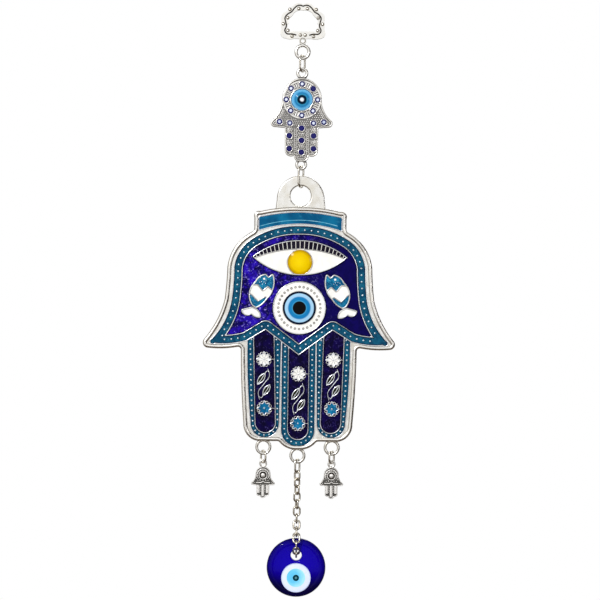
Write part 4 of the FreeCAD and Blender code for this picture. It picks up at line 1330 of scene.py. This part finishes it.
MIDDLE = (0.0, 0.0, -0.15)
DARK_CARDS = (
    # name, place, size, colour, what it faces
    ("back_flag", (0.0, 1.35, -0.15), (1.5, 1.5), (0.40, 0.38, 0.34), MIDDLE),
    ("right_flag", (0.5, -0.1, -0.15), (1.1, 0.9), (0.035, 0.022, 0.014), MIDDLE),
    ("right_front_flag", (0.66, -0.86, -0.15), (1.2, 0.85), (0.09, 0.062, 0.045), MIDDLE),
    ("low_flag", (0.0, -0.45, -0.455), (1.2, 1.2), (0.10, 0.075, 0.055), (0.0, -0.45, 0.0)),
    ("left_flag", (-0.5, 0.05, -0.15), (0.8, 0.9), (0.34, 0.31, 0.27), MIDDLE),
    ("high_flag", (0.0, 0.05, 0.35), (0.9, 0.8), (0.34, 0.31, 0.27), MIDDLE),
)


@dataclass
class Studio:
    """The camera, the lamps, the pale floor and the dark flags beside the metal."""

    pixel: float = 0.51
    picture: int = 600
    axis_pixel: float = 303.0
    axis_top: float = 22.0
    axis_slope: float = 0.0128
    origin_pixel: float = 10.4
    lens: float = 135.0
    sensor: float = 36.0
    floor_level: float = -0.47

    def camera(self) -> None:
        """Sets the camera in front of the ornament, rolled as the photograph is."""
        middle = self.picture / 2
        axis = self.axis_pixel - self.axis_slope * (middle - self.axis_top)
        x = (middle - axis) * self.pixel * MM
        z = -(middle - self.origin_pixel) * self.pixel * MM
        distance = self.picture * self.pixel * MM * self.lens / self.sensor
        data = bpy.data.cameras.new("camera")
        data.lens, data.sensor_width = self.lens, self.sensor
        data.clip_start, data.clip_end = 0.01, 20.0
        camera = in_scene("camera", data)
        turn = Matrix.Rotation(math.pi / 2, 4, "X") @ Matrix.Rotation(math.atan(self.axis_slope), 4, "Z")
        camera.matrix_world = Matrix.Translation((x, -distance, z)) @ turn
        bpy.context.scene.camera = camera

    def lamp(self, name: str, spot: Spot, power: float, size: float) -> None:
        """Hangs one soft round lamp that points at the ornament's middle."""
        data = bpy.data.lights.new(name, "AREA")
        data.shape = "DISK"
        data.energy, data.size = power, size
        lamp = in_scene(name, data)
        lamp.location = spot
        lamp.rotation_euler = (Vector(MIDDLE) - Vector(spot)).to_track_quat("-Z", "Y").to_euler()

    def flag(self, name: str, spot: Spot, size: Flat, colour: Colour, target: Spot) -> None:
        """Stands one card that faces a target, and that only reflections show."""
        bpy.ops.mesh.primitive_plane_add(size=1.0)
        card = bpy.context.object
        card.name = name
        turn = (Vector(target) - Vector(spot)).to_track_quat("Z", "X").to_matrix().to_4x4()
        card.matrix_world = Matrix.Translation(spot) @ turn @ Matrix.Diagonal((*size, 1, 1))
        place(card)
        card.data.materials.append(matt(name, colour, 1.0))
        card.visible_camera = card.visible_diffuse = card.visible_shadow = False
        card.visible_transmission = False

    def world(self) -> None:
        """Makes the world white where it is seen or mirrored, and plain grey as a light."""
        world = bpy.data.worlds.new("studio")
        world.use_nodes = True
        bpy.context.scene.world = world
        graph = Graph(world.node_tree)
        ray = graph.add("LightPath").outputs
        seen = graph.maths("MAXIMUM", ray["Is Camera Ray"],
                           graph.maths("MAXIMUM", ray["Is Glossy Ray"], ray["Is Transmission Ray"]))
        graph.feed(world.node_tree.nodes["Background"],
                   {"Color": (1.0, 1.0, 1.0), "Strength": graph.span(seen, 0.0, 1.0, 0.55, 1.0)})

    def floor(self) -> None:
        """Lays a pale floor well below the ornament."""
        bpy.ops.mesh.primitive_circle_add(vertices=64, radius=0.8, fill_type="NGON",
                                          location=(0, 0, self.floor_level))
        floor = place(bpy.context.object)
        floor.name = "floor"
        floor.data.materials.append(matt("pale_floor", (0.86, 0.86, 0.85), 0.9))

    def build(self) -> None:
        """Builds the whole stage."""
        self.camera()
        self.world()
        self.floor()
        self.lamp("key", (-0.5, -0.9, 0.4), 8.0, 0.16)
        self.lamp("fill", (0.8, -1.0, 0.1), 3.0, 0.3)
        self.lamp("back", (0.1, 0.7, 0.4), 3.0, 0.4)
        for card in DARK_CARDS:
            self.flag(*card)
        bpy.context.scene.view_settings.view_transform = "Standard"


def main() -> None:
    """Loads the frame, builds the stage and dresses the ornament from the top down."""
    logging.basicConfig(level=logging.INFO, format="%(name)s: %(message)s")
    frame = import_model()
    Studio().build()
    shop = Workshop(frame["nodes"])
    for part in (Hanger(), Connector(), Hand(), Charms(), Strand()):
        part.build(shop)
        LOG.info("%s done", type(part).__name__)


if __name__ == "__main__":
    main()
